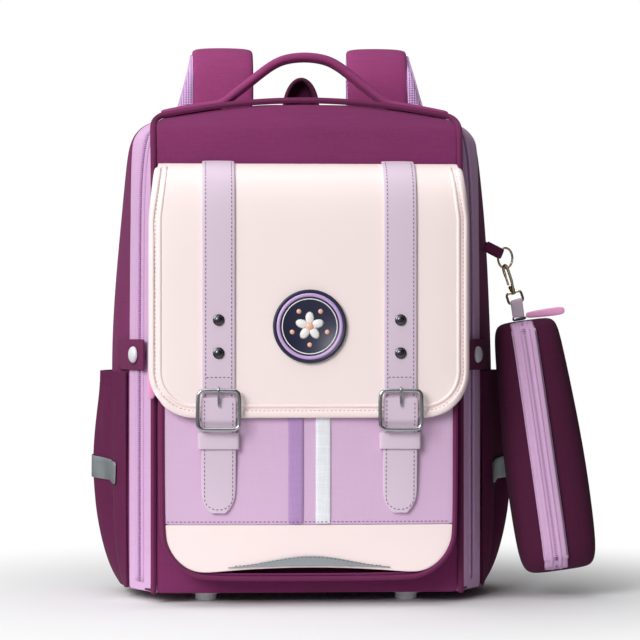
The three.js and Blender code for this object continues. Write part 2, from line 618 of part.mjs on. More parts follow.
// Back face of the tongue at a height: in front of the flap above, close to the pocket below
function tongueBack(z) {
  const keeperTop = KEEPER.centre + KEEPER.height / 2;
  const keeperY = tongueBackLower - SEAM_GAP - keeperDepth;
  const flapEdge = FLAP.bottom - FLAP.thick;
  if (z >= flapEdge) return tongueBackUpper;
  if (z >= keeperTop + TONGUE.clear) {
    const from = keeperTop + TONGUE.clear;
    return lerp(keeperY, tongueBackUpper, (z - from) / (flapEdge - from));
  }
  const keeperBottom = KEEPER.centre - KEEPER.height / 2;
  if (z >= keeperBottom) return keeperY;
  return lerp(tongueBackLower, keeperY, Math.max(0, 1 - (keeperBottom - z) / TONGUE.settle));
}

function tongue(side) {
  const keeperTop = KEEPER.centre + KEEPER.height / 2;
  const edge = FLAP.bottom - FLAP.thick;
  const over = keeperTop + TONGUE.clear;
  const under = keeperTop - KEEPER.height - TONGUE.clear;
  const bend = [edge + 2 * TONGUE.clear, edge, (edge + over) / 2, over, under];
  const tail = [0.42, 0.24, 0.12, 0.04, 0].map((share) => lerp(TONGUE.bottom, TONGUE.top, share));
  const heights = [TONGUE.top, ...bend, ...tail];
  const path = heights.map((z) => V(side * FLAP_STRAP.offset, tongueBack(z) - TONGUE.thick / 2, z));
  const span = TONGUE.top - TONGUE.bottom;
  const round = TONGUE.width / 2;
  return sweep(path, V(1, 0, 0), (share) => {
    const z = path[Math.round(share * (path.length - 1))].z;
    const fromEnd = Math.min(z - TONGUE.bottom, span);
    const narrow = fromEnd < round ? Math.sqrt(1 - ((round - fromEnd) / round) ** 2) : 1;
    return stripSection(TONGUE.width * Math.max(TONGUE.tip, narrow), TONGUE.thick);
  });
}

const tongueFront = tongueBack(TONGUE.top) - TONGUE.thick;
const buckleY = tongueFront - SEAM_GAP - BUCKLE.wire;
function buckle(side) {
  const half = [BUCKLE.width / 2 - BUCKLE.wire, BUCKLE.height / 2 - BUCKLE.wire];
  const pairs = roundedRect(half[0], half[1], BUCKLE.corner, 3, side * FLAP_STRAP.offset, BUCKLE.centre);
  return sweep(pairs.map(([x, z]) => V(x, buckleY, z)), V(0, 1, 0), roundSection(BUCKLE.wire, 6), true);
}

function prong(side) {
  const top = BUCKLE.centre + BUCKLE.height / 2 - 2 * BUCKLE.wire - SEAM_GAP;
  const x = side * FLAP_STRAP.offset;
  const y = tongueFront - SEAM_GAP - PRONG.radius;
  const path = [V(x, y, top), V(x, y, top - PRONG.length / 2), V(x, y, top - PRONG.length)];
  return sweep(path, V(1, 0, 0), (share) => roundSection(PRONG.radius * (share < 1 ? 1 : 0.6), 6));
}

function keeper(side) {
  const back = tongueBack(KEEPER.centre) + KEEPER.clear;
  const front = tongueBack(KEEPER.centre) - TONGUE.thick - KEEPER.clear;
  const middle = (back + front) / 2;
  const halfY = (back - front) / 2 + KEEPER.wall / 2;
  const halfX = KEEPER.width / 2 - KEEPER.wall / 2;
  const pairs = roundedRect(halfX, halfY, KEEPER.wall, 2, side * FLAP_STRAP.offset, middle);
  const path = pairs.map(([x, y]) => V(x, y, KEEPER.centre));
  return sweep(path, V(0, 0, 1), stripSection(KEEPER.height, KEEPER.wall, 0.2), true);
}

function rivet(side, z) {
  const y = flapOuter(z) - FLAP_STRAP.lift - FLAP_STRAP.thick - SEAM_GAP;
  const r = RIVET.radius;
  const h = RIVET.height;
  const profile = [[0, 0], [r, 0], [r, h * 0.5], [r * 0.7, h], [0, h]];
  return turnedFront(profile, 10, V(side * FLAP_STRAP.offset, y, z));
}

for (const [side, word] of [[-1, 'left'], [1, 'right']]) {
  add(`flap_strap_${word}`, flapStrap(side), 'strap');
  add(`tongue_${word}`, tongue(side), 'strap');
  add(`keeper_${word}`, keeper(side), 'strap');
  add(`buckle_${word}`, buckle(side), 'chrome');
  add(`prong_${word}`, prong(side), 'chrome');
  add(`rivet_upper_${word}`, rivet(side, RIVET.upper), 'gun');
  add(`rivet_lower_${word}`, rivet(side, RIVET.lower), 'gun');
}

// Plain round medallion on the flap
function badge() {
  const r = BADGE.radius;
  const t = BADGE.thick;
  const inner = r - BADGE.rim;
  const { bevel, face } = BADGE;
  const edge = [[0, 0], [r, 0], [r, t - bevel], [r - bevel, t]];
  const profile = [...edge, [inner, t], [inner - bevel, face], [0, face]];
  return turnedFront(profile, 24, V(0, flapOuter(BADGE.centre) - BADGE.lift, BADGE.centre));
}
add('badge', badge(), 'navy');

// Top handle: a padded strip with flat ends sewn on the front roll of the top
const handleRow = sectionAt(bodyY(SECTIONS[1].y));
function handle() {
  const lift = HANDLE.thick / 2 + SEAM_GAP;
  const startZ = topSurface(handleRow, HANDLE.flatStart) + lift;
  const left = [];
  for (let i = HANDLE.flatSteps; i > 0; i -= 1) {
    const x = lerp(HANDLE.flatStart, HANDLE.flatEnd, i / HANDLE.flatSteps);
    left.push(V(-x, HANDLE.y, topSurface(handleRow, x) + lift));
  }
  for (const row of HANDLE_ROUTE) {
    left.push(V(-HANDLE.flatStart * row.out, HANDLE.y, lerp(startZ, bodyTop(1) + HANDLE.rise, row.rise)));
  }
  const right = left.slice(0, -1).map((p) => V(-p.x, p.y, p.z)).reverse();
  const path = [...left, ...right];
  return sweep(path, V(0, 1, 0), stripSection(HANDLE.width, HANDLE.thick, 0.35));
}
add('top_handle', handle(), 'maroon');

// Hang loop: an arched ribbon behind the handle
function hangLoop() {
  const steps = 12;
  const row = sectionAt(HANG_LOOP.y);
  const baseZ = topSurface(row, HANG_LOOP.half - HANG_LOOP.thick) + HANG_LOOP.lift;
  const path = Array.from({ length: steps + 1 }, (_, i) => {
    const angle = Math.PI * (1 - i / steps);
    return V(HANG_LOOP.half * Math.cos(angle), HANG_LOOP.y, baseZ + HANG_LOOP.rise * Math.sin(angle));
  });
  return sweep(path, V(0, 1, 0), stripSection(HANG_LOOP.width, HANG_LOOP.thick));
}
add('hang_loop', hangLoop(), 'dark');

// Shoulder straps: padded, from the top of the back up over a crest and down behind the back panel
const BACK_FACE_Y = bodyY(1) + SEAM_GAP + BACK_PAD.thick + BACK_PAD.swell;
const STRAP_MID_Y = BACK_FACE_Y - STRAP.inset;

const strapRow = sectionAt(bodyY(STRAP.seat));
function strapPoint(side, row, share) {
  const foot = topSurface(strapRow, STRAP.offset) + STRAP.lift;
  const rise = bodyTop(1) + STRAP.rise - STRAP.thick / 2 - foot;
  const x = side * (STRAP.offset + STRAP.splay * Math.max(0, share - 0.25));
  return V(x, STRAP_MID_Y + row.y * STRAP.reach, foot + row.z * rise);
}

function shoulderStrap(side) {
  const last = STRAP_ROUTE.length - 1;
  const path = STRAP_ROUTE.map((row, i) => strapPoint(side, row, i / last));
  const rings = sweepRings(path, V(1, 0, 0), (share) => {
    const narrow = Math.max(0, share - STRAP_TAPER.narrowFrom) / (1 - STRAP_TAPER.narrowFrom);
    const thin = Math.max(0, share - STRAP_TAPER.thinFrom) / (1 - STRAP_TAPER.thinFrom);
    const width = STRAP.width * lerp(1, STRAP_TAPER.width, narrow);
    return stripSection(width, STRAP.thick * lerp(1, STRAP_TAPER.thick, thin), 0.35);
  });
  // The strap's foot follows the crowned top that it is sewn on
  for (const [index, weight] of [[0, 1], [1, 0.5]]) {
    for (const p of rings[index]) p.z += weight * (topSurface(strapRow, p.x) - topSurface(strapRow, STRAP.offset));
  }
  return loft(rings);
}

// Strap adjuster: a plain ladder frame under the padded strap, with webbing down to the base
function strapEnd(side) {
  return strapPoint(side, STRAP_ROUTE[STRAP_ROUTE.length - 1], 1);
}

function adjuster(side) {
  const end = strapEnd(side);
  const centreZ = end.z - ADJUSTER.height / 2 - ADJUSTER.gap;
  const halfX = ADJUSTER.width / 2 - ADJUSTER.wire / 2;
  const halfZ = ADJUSTER.height / 2 - ADJUSTER.wire / 2;
  const pairs = roundedRect(halfX, halfZ, ADJUSTER.corner, 2, end.x, centreZ);
  const path = pairs.map(([x, z]) => V(x, end.y, z));
  return sweep(path, V(0, 1, 0), stripSection(ADJUSTER.thick, ADJUSTER.wire, 0.2), true);
}

function webbing(side) {
  const end = strapEnd(side);
  const top = end.z - ADJUSTER.height - ADJUSTER.gap - 2 * SEAM_GAP;
  const rows = [0, 0.25, 0.5, 0.75, 1].map((share) => {
    const settle = Math.sin((share * Math.PI) / 2) ** 2;
    const y = lerp(end.y, BACK_FACE_Y + WEB.thick / 2 + SEAM_GAP, settle);
    return V(lerp(end.x, side * WEB.offset, share), y, lerp(top, WEB.foot, share));
  });
  return sweep(rows, V(1, 0, 0), stripSection(WEB.width, WEB.thick));
}

for (const [side, word] of [[-1, 'left'], [1, 'right']]) {
  add(`strap_${word}`, shoulderStrap(side), 'maroon');
  add(`adjuster_${word}`, adjuster(side), 'dark');
  add(`strap_web_${word}`, webbing(side), 'dark');
}

// Side pockets: bellied cloth cups sewn on the bag's sides, open at the top and gathered by elastic
const POCKET_COLUMNS = 8;

// Side wall of the bag at a depth and height, as a distance from the middle plane
function sideX(y, z) {
  return halfAt(sectionAt(y), z);
}

function sidePocketPoint(side, s, row, extra) {
  const y = lerp(SIDE_POCKET.front, SIDE_POCKET.rear, s);
  const z = BODY_BOTTOM + row.z * SIDE_POCKET.height;
  const belly = Math.sin(Math.PI * s) ** SIDE_POCKET.belly;
  const waves = Math.cos(2 * Math.PI * s * SIDE_POCKET.pleats);
  const gather = row.z > SIDE_POCKET.hem ? SIDE_POCKET.pleat * waves : 0;
  const out = SIDE_POCKET.clear + SIDE_POCKET.bulge * row.out * belly + gather * belly + extra;
  return V(side * (sideX(y, z) + out), y, z);
}

function sidePocket(side) {
  const grid = POCKET_ROWS.map((row) => Array.from({ length: POCKET_COLUMNS + 1 }, (_, j) => (
    sidePocketPoint(side, j / POCKET_COLUMNS, row, 0)
  )));
  return sheet(grid, side * SIDE_POCKET.wall);
}

// Reflective tape across a side pocket, dropping towards its front
function pocketTape(side) {
  const columns = 6;
  const rows = [-0.5, 0.5].map((across) => Array.from({ length: columns + 1 }, (_, j) => {
    const s = lerp(TAPE.start, 1 - TAPE.start, j / columns);
    const z = TAPE.centre + across * TAPE.width - TAPE.drop * (1 - s);
    const at = (z - BODY_BOTTOM) / SIDE_POCKET.height;
    const next = POCKET_ROWS.findIndex((row) => row.z >= at);
    const t = (at - POCKET_ROWS[next - 1].z) / (POCKET_ROWS[next].z - POCKET_ROWS[next - 1].z);
    const row = { z: at, out: lerp(POCKET_ROWS[next - 1].out, POCKET_ROWS[next].out, t) };
    return sidePocketPoint(side, s, row, SIDE_POCKET.wall + TAPE.lift);
  }));
  return sheet(rows, side * TAPE.thick);
}

// Snap tab across the zip band, with its white snap
function snapTab(side) {
  const steps = 8;
  const path = Array.from({ length: steps + 1 }, (_, i) => {
    const y = lerp(SNAP.y - SNAP_TAB.front, SNAP.y + SNAP_TAB.rear, i / steps);
    return V(side * (sideX(y, SNAP.z) + SNAP_TAB.thick / 2 + SNAP_TAB.lift), y, SNAP.z);
  });
  return sweep(path, V(0, 0, 1), stripSection(SNAP_TAB.width, SNAP_TAB.thick));
}

function snap(side) {
  const slope = sideX(SNAP.y + SNAP.radius, SNAP.z) - sideX(SNAP.y - SNAP.radius, SNAP.z);
  const along = V(side * slope, 2 * SNAP.radius, 0).normalize();
  const out = V(side * along.y, -side * along.x, 0);
  const r = SNAP.radius;
  const h = SNAP.height;
  const profile = [[0, 0], [r, 0], [r, h * 0.45], [r * 0.8, h * 0.8], [r * 0.4, h], [0, h]];
  const geometry = new THREE.LatheGeometry(profile.map(([a, b]) => new THREE.Vector2(a, b)), 14);
  geometry.applyQuaternion(new THREE.Quaternion().setFromUnitVectors(V(0, 1, 0), out));
  const seat = SNAP_TAB.thick + SNAP_TAB.lift + SEAM_GAP;
  const at = V(side * sideX(SNAP.y, SNAP.z), SNAP.y, SNAP.z).addScaledVector(out, seat);
  geometry.translate(at.x, at.y, at.z);
  return geometry;
}

function foot() {
  const r = FOOT.radius;
  const top = BODY_BOTTOM - SEAM_GAP;
  const under = top - FOOT.flangeThick;
  const { bevel, flange } = FOOT;
  const profile = [[0, 0], [r - bevel, 0], [r, bevel], [r, under], [flange, under], [flange, top], [0, top]];
  const geometry = new THREE.LatheGeometry(profile.map(([a, b]) => new THREE.Vector2(a, b)), 12);
  geometry.rotateX(Math.PI / 2);
  return geometry;
}

for (const [side, word] of [[-1, 'left'], [1, 'right']]) {
  add(`side_pocket_${word}`, sidePocket(side), 'dark');
  add(`pocket_tape_${word}`, pocketTape(side), 'tape');
  add(`snap_tab_${word}`, snapTab(side), 'dark');
  add(`snap_${word}`, snap(side), 'plastic');
  for (const [y, end] of [[FOOT.frontY, 'front'], [FOOT.rearY, 'rear']]) {
    add(`foot_${end}_${word}`, foot(), 'foot').position.set(side * FOOT.x, y, 0);
  }
}

// Ring in its cloth tab on the right side
const ringPlane = V(Math.cos(rad(RING.turn)), Math.sin(rad(RING.turn)), 0);
const ringNormal = V(-ringPlane.y, ringPlane.x, 0);
const ringCentre = V(BAG.width / 2 + RING.out, RING.y, RING.z);
function ringAt(angle) {
  const out = ringPlane.clone().multiplyScalar(RING.half * Math.cos(angle));
  return ringCentre.clone().add(out).add(V(0, 0, RING.drop * Math.sin(angle)));
}

function ring() {
  const steps = 16;
  const path = Array.from({ length: steps }, (_, i) => ringAt((2 * Math.PI * i) / steps));
  return sweep(path, ringNormal, roundSection(RING.wire, 6), true);
}
add('dee_ring', ring(), 'gold');

function ringTab() {
  const at = rad(RING_TAB.angle);
  const hold = ringAt(at);
  const tangent = ringAt(at + 0.05).sub(ringAt(at - 0.05)).normalize();
  const back = new THREE.Vector3().crossVectors(tangent, ringNormal).normalize();
  if (back.x > 0) back.negate();
  const bend = RING.wire + RING_TAB.clear + RING_TAB.thick / 2;
  const path = [];
  const end = hold.clone().addScaledVector(back, RING_TAB.reach);
  path.push(end.clone().addScaledVector(ringNormal, bend * RING_TAB.pinch));
  for (let i = 0; i <= 6; i += 1) {
    const angle = Math.PI * (i / 6 - 0.5);
    path.push(hold.clone().addScaledVector(ringNormal, -bend * Math.sin(angle))
      .addScaledVector(back, -bend * Math.cos(angle)));
  }
  path.push(end.clone().addScaledVector(ringNormal, -bend * RING_TAB.pinch));
  return sweep(path, tangent, stripSection(RING_TAB.width, RING_TAB.thick));
}
add('ring_tab', ringTab(), 'dark');

// Snap hook: hangs on the ring's lowest wire, its loop across the ring's plane
const pivot = ringAt(rad(270));
const hookReach = V(...HOOK.reach);
const hookTilt = new THREE.Quaternion().setFromUnitVectors(V(0, 0, -1), hookReach.clone().normalize());
const hookTurn = new THREE.Quaternion().setFromAxisAngle(V(0, 0, 1), rad(RING.turn));
const hookGroup = new THREE.Group();
hookGroup.position.copy(pivot);
hookGroup.quaternion.copy(hookTilt).multiply(hookTurn);
root.add(hookGroup);

const hookTop = RING.wire + HOOK.clear + HOOK.wire;
function hookPath() {
  const centreZ = hookTop - HOOK.half;
  const path = [V(0, HOOK.half, centreZ - HOOK.mouth)];
  for (let i = 0; i <= 8; i += 1) {
    const angle = (Math.PI * i) / 8;
    path.push(V(0, HOOK.half * Math.cos(angle), centreZ + HOOK.half * Math.sin(angle)));
  }
  path.push(V(0, -HOOK.half, centreZ - HOOK.spine / 2), V(0, -HOOK.half, centreZ - HOOK.spine));
  path.push(V(0, -HOOK.neck, -HOOK.length + HOOK.neck), V(0, 0, -HOOK.length));
  return path;
}

// Eye under the hook: a flat rectangle of wire for the case's leather tab
function eyePath() {
  const middle = -HOOK.length - EYE.height / 2 - EYE.gap;
  return roundedRect(EYE.half, EYE.height / 2, EYE.corner, 2, 0, middle).map(([x, z]) => V(x, 0, z));
}

function snapHook() {
  const hook = sweep(hookPath(), V(1, 0, 0), roundSection(HOOK.wire, 8));
  const eye = sweep(eyePath(), V(0, 1, 0), roundSection(EYE.wire, 6), true);
  eye.rotateZ(-rad(RING.turn));
  const post = new THREE.CylinderGeometry(HOOK_POST.top, HOOK_POST.bottom, HOOK_POST.height, 12);
  post.rotateX(Math.PI / 2);
  post.translate(0, 0, -HOOK.length + HOOK_POST.sink);
  const knuckle = new THREE.CylinderGeometry(KNUCKLE.radius, KNUCKLE.radius, KNUCKLE.width, 10);
  knuckle.rotateZ(Math.PI / 2);
  const hinge = gateHinge();
  const seat = V(0, hinge.y - KNUCKLE.inset, hinge.z - KNUCKLE.drop);
  knuckle.translate(seat.x, seat.y, seat.z);
  const arm = sweep([seat, V(0, 0, -HOOK.length + KNUCKLE.arm)], V(1, 0, 0), roundSection(KNUCKLE.arm, 6));
  return geometryOf([eye, post, knuckle, arm].reduce((whole, one) => whole.add(solidOf(one)), solidOf(hook)));
}

// Gate: the sprung lever that closes the hook's mouth
function gateHinge() {
  return V(0, HOOK.half, hookTop - HOOK.half - GATE.foot);
}

function gate() {
  const bottom = gateHinge();
  const top = V(0, HOOK.half, hookTop - HOOK.half - HOOK.mouth - GATE.gap);
  const path = [bottom, bottom.clone().lerp(top, 0.5), top];
  return sweep(path, V(1, 0, 0), roundSection(GATE.wire, 8));
}
add('snap_hook', snapHook(), 'gold', hookGroup);
add('hook_gate', gate(), 'gold', hookGroup);

// Pencil case under the hook, in a frame of its own whose origin is the eye's lower bar
const eyeLow = V(0, 0, -HOOK.length - EYE.height - EYE.gap);
const caseGroup = new THREE.Group();
const eyeWorld = eyeLow.clone().applyQuaternion(hookGroup.quaternion).add(pivot);
caseGroup.position.copy(eyeWorld);
caseGroup.rotation.set(rad(-CASE.lean), rad(-CASE.tilt), 0, 'XYZ');
root.add(caseGroup);

// Leather tab folded through the eye and sewn on the case
function caseTab() {
  const eyeBar = V(1, 0, 0).applyAxisAngle(V(0, 0, 1), -rad(RING.turn)).applyQuaternion(hookGroup.quaternion);
  eyeBar.applyQuaternion(caseGroup.quaternion.clone().invert());
  const across = (share) => V(1, 0, 0).lerp(eyeBar, Math.min(1, 8 * share * (1 - share))).normalize();
  const bend = EYE.wire + CASE_TAB.clear + CASE_TAB.thick / 2;
  const path = [V(0, bend * CASE_TAB.pinch, -CASE_TAB.length)];
  for (let i = 0; i <= 6; i += 1) {
    const angle = (Math.PI * i) / 6;
    path.push(V(0, bend * Math.cos(angle), bend * Math.sin(angle)));
  }
  path.push(V(0, -bend * CASE_TAB.pinch, -CASE_TAB.length));
  return sweep(path, across, stripSection(CASE_TAB.width, CASE_TAB.thick));
}
add('case_tab', caseTab(), 'strap', caseGroup);

const CASE_TOP = -CASE_TAB.length - CASE.drop;

// Ring of the case at a table row, a rounded square drawn in by an inset
function caseRing(row, inset, sides = 20) {
  const width = (CASE.width / 2) * row.width - inset;
  const depth = (CASE.depth / 2) * row.depth - inset;
  const z = CASE_TOP - lerp(inset, CASE.length - inset, row.z);
  return Array.from({ length: sides }, (_, i) => {
    const angle = (2 * Math.PI * i) / sides;
    const c = Math.cos(angle);
    const s = Math.sin(angle);
    const x = CASE.offset + Math.sign(c) * Math.abs(c) ** CASE.power * width;
    return V(x, Math.sign(s) * Math.abs(s) ** CASE.power * depth, z);
  });
}

function caseBody() {
  const outer = solidOf(loft(CASE_ROWS.map((row) => caseRing(row, 0))));
  const inner = solidOf(loft(CASE_ROWS.map((row) => caseRing(row, CASE.wall))));
  const slitHalf = CASE_BAND.half - CASE_BAND.lap;
  const slit = new THREE.BoxGeometry(2 * slitHalf, CASE.depth, CASE.length * CASE.slit);
  slit.translate(CASE.offset + CASE_BAND.offset, -CASE.depth / 2, CASE_TOP - CASE.length / 2);
  return geometryOf(outer.subtract(inner).subtract(solidOf(slit)));
}
add('case_body', caseBody(), 'dark', caseGroup);

// Front of the case at a place, for the zip band that closes its slit
function caseFrontY(x, z) {
  const share = THREE.MathUtils.clamp((CASE_TOP - z) / CASE.length, 0, 1);
  const next = Math.max(1, CASE_ROWS.findIndex((row) => row.z >= share));
  const t = (share - CASE_ROWS[next - 1].z) / (CASE_ROWS[next].z - CASE_ROWS[next - 1].z);
  const half = (CASE.width / 2) * lerp(CASE_ROWS[next - 1].width, CASE_ROWS[next].width, t);
  const depth = (CASE.depth / 2) * lerp(CASE_ROWS[next - 1].depth, CASE_ROWS[next].depth, t);
  const across = Math.min(0.98, Math.abs(x - CASE.offset) / half);
  return -depth * (1 - across ** (2 / CASE.power)) ** (CASE.power / 2);
}

function caseBand() {
  const straight = CASE_ROWS.slice(2, -2).map((row) => row.z);
  const shares = straight.flatMap((z, i) => (i ? [(straight[i - 1] + z) / 2, z] : [z]));
  const grid = shares.map((share) => [-1, -0.5, 0, 0.5, 1].map((s) => {
    const z = CASE_TOP - CASE.length * share;
    const x = CASE.offset + CASE_BAND.offset + s * CASE_BAND.half;
    return V(x, caseFrontY(x, z) - CASE_BAND.lift, z);
  }));
  return sheet(grid, -CASE_BAND.thick);
}
add('case_zip_band', caseBand(), 'lilac', caseGroup);

// Slider: a small wedge of metal with its bridge
function slider(length, width, thick) {
  const rows = [[0, 0.75, 0.7], [0.25, 1, 1], [0.7, 0.8, 1], [1, 0.5, 0.6]];
  const rings = rows.map(([along, wide, high]) => (
    stripSection(width * wide, thick * high, 0.3).map(([a, b]) => V(a, b, -along * length))
  ));
  return loft(rings);
}
const sliderX = CASE.offset + CASE_BAND.offset;
const sliderY = -CASE_TAB.thick - SLIDER.width / 2 - SLIDER.clear;
const flatSlider = slider(SLIDER.length, SLIDER.width, SLIDER.thick);
flatSlider.rotateZ(Math.PI / 2);
const caseSlider = add('case_slider', flatSlider, 'gun', caseGroup);
caseSlider.rotation.set(0, -Math.PI / 2, 0);
caseSlider.position.set(sliderX - SLIDER.length / 2, sliderY, CASE_TOP + SEAM_GAP + SLIDER.thick / 2);

// Rubber pull: a rounded bar with a narrower eye end
function pull(length, width, thick) {
  const rows = [[0, 0.5], [0.06, 0.72], [0.3, 0.86], [0.8, 1], [0.95, 0.85], [1, 0.5]];
  const rings = rows.map(([along, wide]) => (
    stripSection(width * wide, thick * Math.max(0.7, wide), 0.35).map(([a, b]) => V(a, b, -along * length))
  ));
  return loft(rings);
}
const casePull = add('case_pull', pull(PULL.length, PULL.width, PULL.thick), 'pink', caseGroup);
casePull.rotation.set(0, -Math.PI / 2, 0);
casePull.position.set(sliderX + SLIDER.length / 2 + SEAM_GAP, sliderY, CASE_TOP + SEAM_GAP + PULL.width / 2);

// Slider and pull of the front pocket's zip, on its left side
const pocketSideX = -(POCKET.width / 2 + POCKET.splay / 2);
const pullY = lerp(POCKET_BACK_Y, POCKET_FRONT_Y, SLIDER.depth);
const pocketSlider = add('pocket_slider', slider(SLIDER.length, SLIDER.width, SLIDER.thick), 'gun');
pocketSlider.rotation.set(0, 0, Math.PI / 2);
pocketSlider.position.set(pocketSideX - SLIDER.thick / 2 - SLIDER.lift, pullY, SLIDER.top);
const pocketPull = add('pocket_pull', pull(PULL.length, PULL.width, PULL.thick), 'pink');
pocketPull.position.set(pocketSideX - SLIDER.thick / 2 - PULL.lift, pullY, SLIDER.top - SLIDER.length - PULL.gap);

// The origin is the middle of the whole part's footprint, on the surface that it stands on
root.updateMatrixWorld(true);
const box = new THREE.Box3().setFromObject(root, true);
root.position.set(-(box.min.x + box.max.x) / 2, -(box.min.y + box.max.y) / 2, -box.min.z);

export default root;
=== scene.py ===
"""Looks of a school ransel with its clip-on pencil case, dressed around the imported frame.

Sizes are in metres, in the frame's own axes: +Z up, +X to the right of someone who looks at the
flap, +Y towards the back panel. Values written as n * MM are millimetres of the real bag.
"""

import json
import logging
import math
from dataclasses import dataclass, field
from enum import Enum
from typing import Callable, Iterable, Optional, Sequence, Union

import bmesh
import bpy
from mathutils import Matrix, Vector, noise
from mathutils.bvhtree import BVHTree


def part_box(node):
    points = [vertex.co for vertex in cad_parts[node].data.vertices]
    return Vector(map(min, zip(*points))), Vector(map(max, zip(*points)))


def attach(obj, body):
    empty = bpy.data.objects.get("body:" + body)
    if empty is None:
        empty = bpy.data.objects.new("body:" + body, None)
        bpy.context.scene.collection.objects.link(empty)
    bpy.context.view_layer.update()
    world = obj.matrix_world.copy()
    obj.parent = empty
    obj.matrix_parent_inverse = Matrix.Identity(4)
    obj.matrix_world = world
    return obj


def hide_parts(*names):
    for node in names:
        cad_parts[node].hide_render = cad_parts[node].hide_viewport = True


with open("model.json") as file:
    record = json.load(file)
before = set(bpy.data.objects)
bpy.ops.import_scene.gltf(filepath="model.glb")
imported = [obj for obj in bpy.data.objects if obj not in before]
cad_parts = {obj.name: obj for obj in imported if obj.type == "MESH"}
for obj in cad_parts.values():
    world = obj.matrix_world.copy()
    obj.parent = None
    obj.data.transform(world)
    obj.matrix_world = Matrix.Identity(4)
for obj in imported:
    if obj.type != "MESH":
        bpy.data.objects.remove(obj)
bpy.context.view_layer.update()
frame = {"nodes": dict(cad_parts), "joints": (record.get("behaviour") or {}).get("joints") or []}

LOG = logging.getLogger("ransel")
MM = 0.001
FRONT = Vector((0, -1, 0))
BACK = Vector((0, 1, 0))
RIGHT = Vector((1, 0, 0))
UP = Vector((0, 0, 1))
SIDES = ((-1, "left"), (1, "right"))

Color = tuple[float, float, float]
Socket = Union[bpy.types.NodeSocket, float, Sequence[float]]


class Body(Enum):
    """Moving bodies of the frame."""

    BAG = "bag"
    CASE = "case"
    GATE = "gate"
    PULL = "pull"


def srgb(red: int, green: int, blue: int) -> Color:
    """Linear colour of a display colour.

    Args:
        red, green, blue: display values from 0 to 255.

    Returns:
        The linear red, green and blue.
    """

    def linear(value: int) -> float:
        share = value / 255
        return share / 12.92 if share <= 0.04045 else ((share + 0.055) / 1.055) ** 2.4

    return linear(red), linear(green), linear(blue)


# Shader node helpers


def node(tree: bpy.types.NodeTree, kind: str, inputs: Optional[dict] = None, **options) -> bpy.types.Node:
    """Adds a node to a tree.

    Args:
        tree: the node tree.
        kind: the node's type name.
        inputs: sockets or values by input name or number.
        options: settings of the node itself.

    Returns:
        The new node.
    """
    made = tree.nodes.new(kind)
    for key, value in options.items():
        setattr(made, key, value)
    for key, value in (inputs or {}).items():
        if isinstance(value, bpy.types.NodeSocket):
            tree.links.new(value, made.inputs[key])
        else:
            made.inputs[key].default_value = value
    return made


def math_node(tree: bpy.types.NodeTree, operation: str, *values: Socket) -> bpy.types.NodeSocket:
    """Adds a Math node.

    Args:
        tree: the node tree.
        operation: the operation's name.
        values: its operands.

    Returns:
        The node's output.
    """
    return node(tree, "ShaderNodeMath", dict(enumerate(values)), operation=operation).outputs[0]


class Effect:
    """A shader node group made once and placed in many materials."""

    made: dict[str, bpy.types.NodeTree] = {}

    def __init__(self, name: str, inputs: dict[str, tuple[str, object]], outputs: dict[str, str],
                 build: Callable[[bpy.types.NodeTree, dict], dict]) -> None:
        """Keeps what the group takes and gives, and how it is built.

        Args:
            name: the group's name.
            inputs: socket kind and usual value by name.
            outputs: socket kind by name.
            build: function that fills the tree and returns its output sockets by name.
        """
        self.name = name
        self.inputs = inputs
        self.outputs = outputs
        self.build = build

    def group(self) -> bpy.types.NodeTree:
        """The node group, built at its first use."""
        if self.name in Effect.made:
            return Effect.made[self.name]
        tree = bpy.data.node_groups.new(self.name, "ShaderNodeTree")
        for name, (kind, value) in self.inputs.items():
            socket = tree.interface.new_socket(name, in_out="INPUT", socket_type=kind)
            if value is not None:
                socket.default_value = value
        for name, kind in self.outputs.items():
            tree.interface.new_socket(name, in_out="OUTPUT", socket_type=kind)
        taken = tree.nodes.new("NodeGroupInput").outputs
        given = tree.nodes.new("NodeGroupOutput").inputs
        for name, socket in self.build(tree, {key: taken[key] for key in self.inputs}).items():
            tree.links.new(socket, given[name])
        Effect.made[self.name] = tree
        return tree

    def place(self, tree: bpy.types.NodeTree, **inputs: Socket) -> bpy.types.NodeOutputs:
        """Adds the group to a material's tree.

        Args:
            tree: the material's tree.
            inputs: sockets or values by input name.

        Returns:
            The placed group's outputs.
        """
        made = tree.nodes.new("ShaderNodeGroup")
        made.node_tree = self.group()
        for key, value in inputs.items():
            if isinstance(value, bpy.types.NodeSocket):
                tree.links.new(value, made.inputs[key])
            else:
                made.inputs[key].default_value = value
        return made.outputs


FLOAT, COLOR, VECTOR = "NodeSocketFloat", "NodeSocketColor", "NodeSocketVector"


def build_weave(tree: bpy.types.NodeTree, given: dict) -> dict:
    """Crossed threads: a sine along each axis, with slubs that run along them."""
    turned = node(tree, "ShaderNodeVectorMath", {0: given["Place"], 1: given["Threads"]},
                  operation="MULTIPLY")
    axes = node(tree, "ShaderNodeSeparateXYZ", {0: turned.outputs[0]}).outputs
    waves = [math_node(tree, "SINE", axis) for axis in axes]
    total = math_node(tree, "ADD", math_node(tree, "ADD", waves[0], waves[1]), waves[2])
    stretched = node(tree, "ShaderNodeMapping", {0: given["Place"], 3: (900.0, 900.0, 60.0)})
    slub = node(tree, "ShaderNodeTexNoise", {"Vector": stretched.outputs[0], "Scale": 1.0, "Detail": 1.0})
    across = node(tree, "ShaderNodeMapping", {0: given["Place"], 3: (60.0, 60.0, 900.0)})
    pick = node(tree, "ShaderNodeTexNoise", {"Vector": across.outputs[0], "Scale": 1.0, "Detail": 1.0})
    slubs = math_node(tree, "ADD", slub.outputs[0], pick.outputs[0])
    height = math_node(tree, "MULTIPLY_ADD", slubs, 0.9, math_node(tree, "MULTIPLY", total, 0.22))
    return {"Height": height, "Slub": slubs}


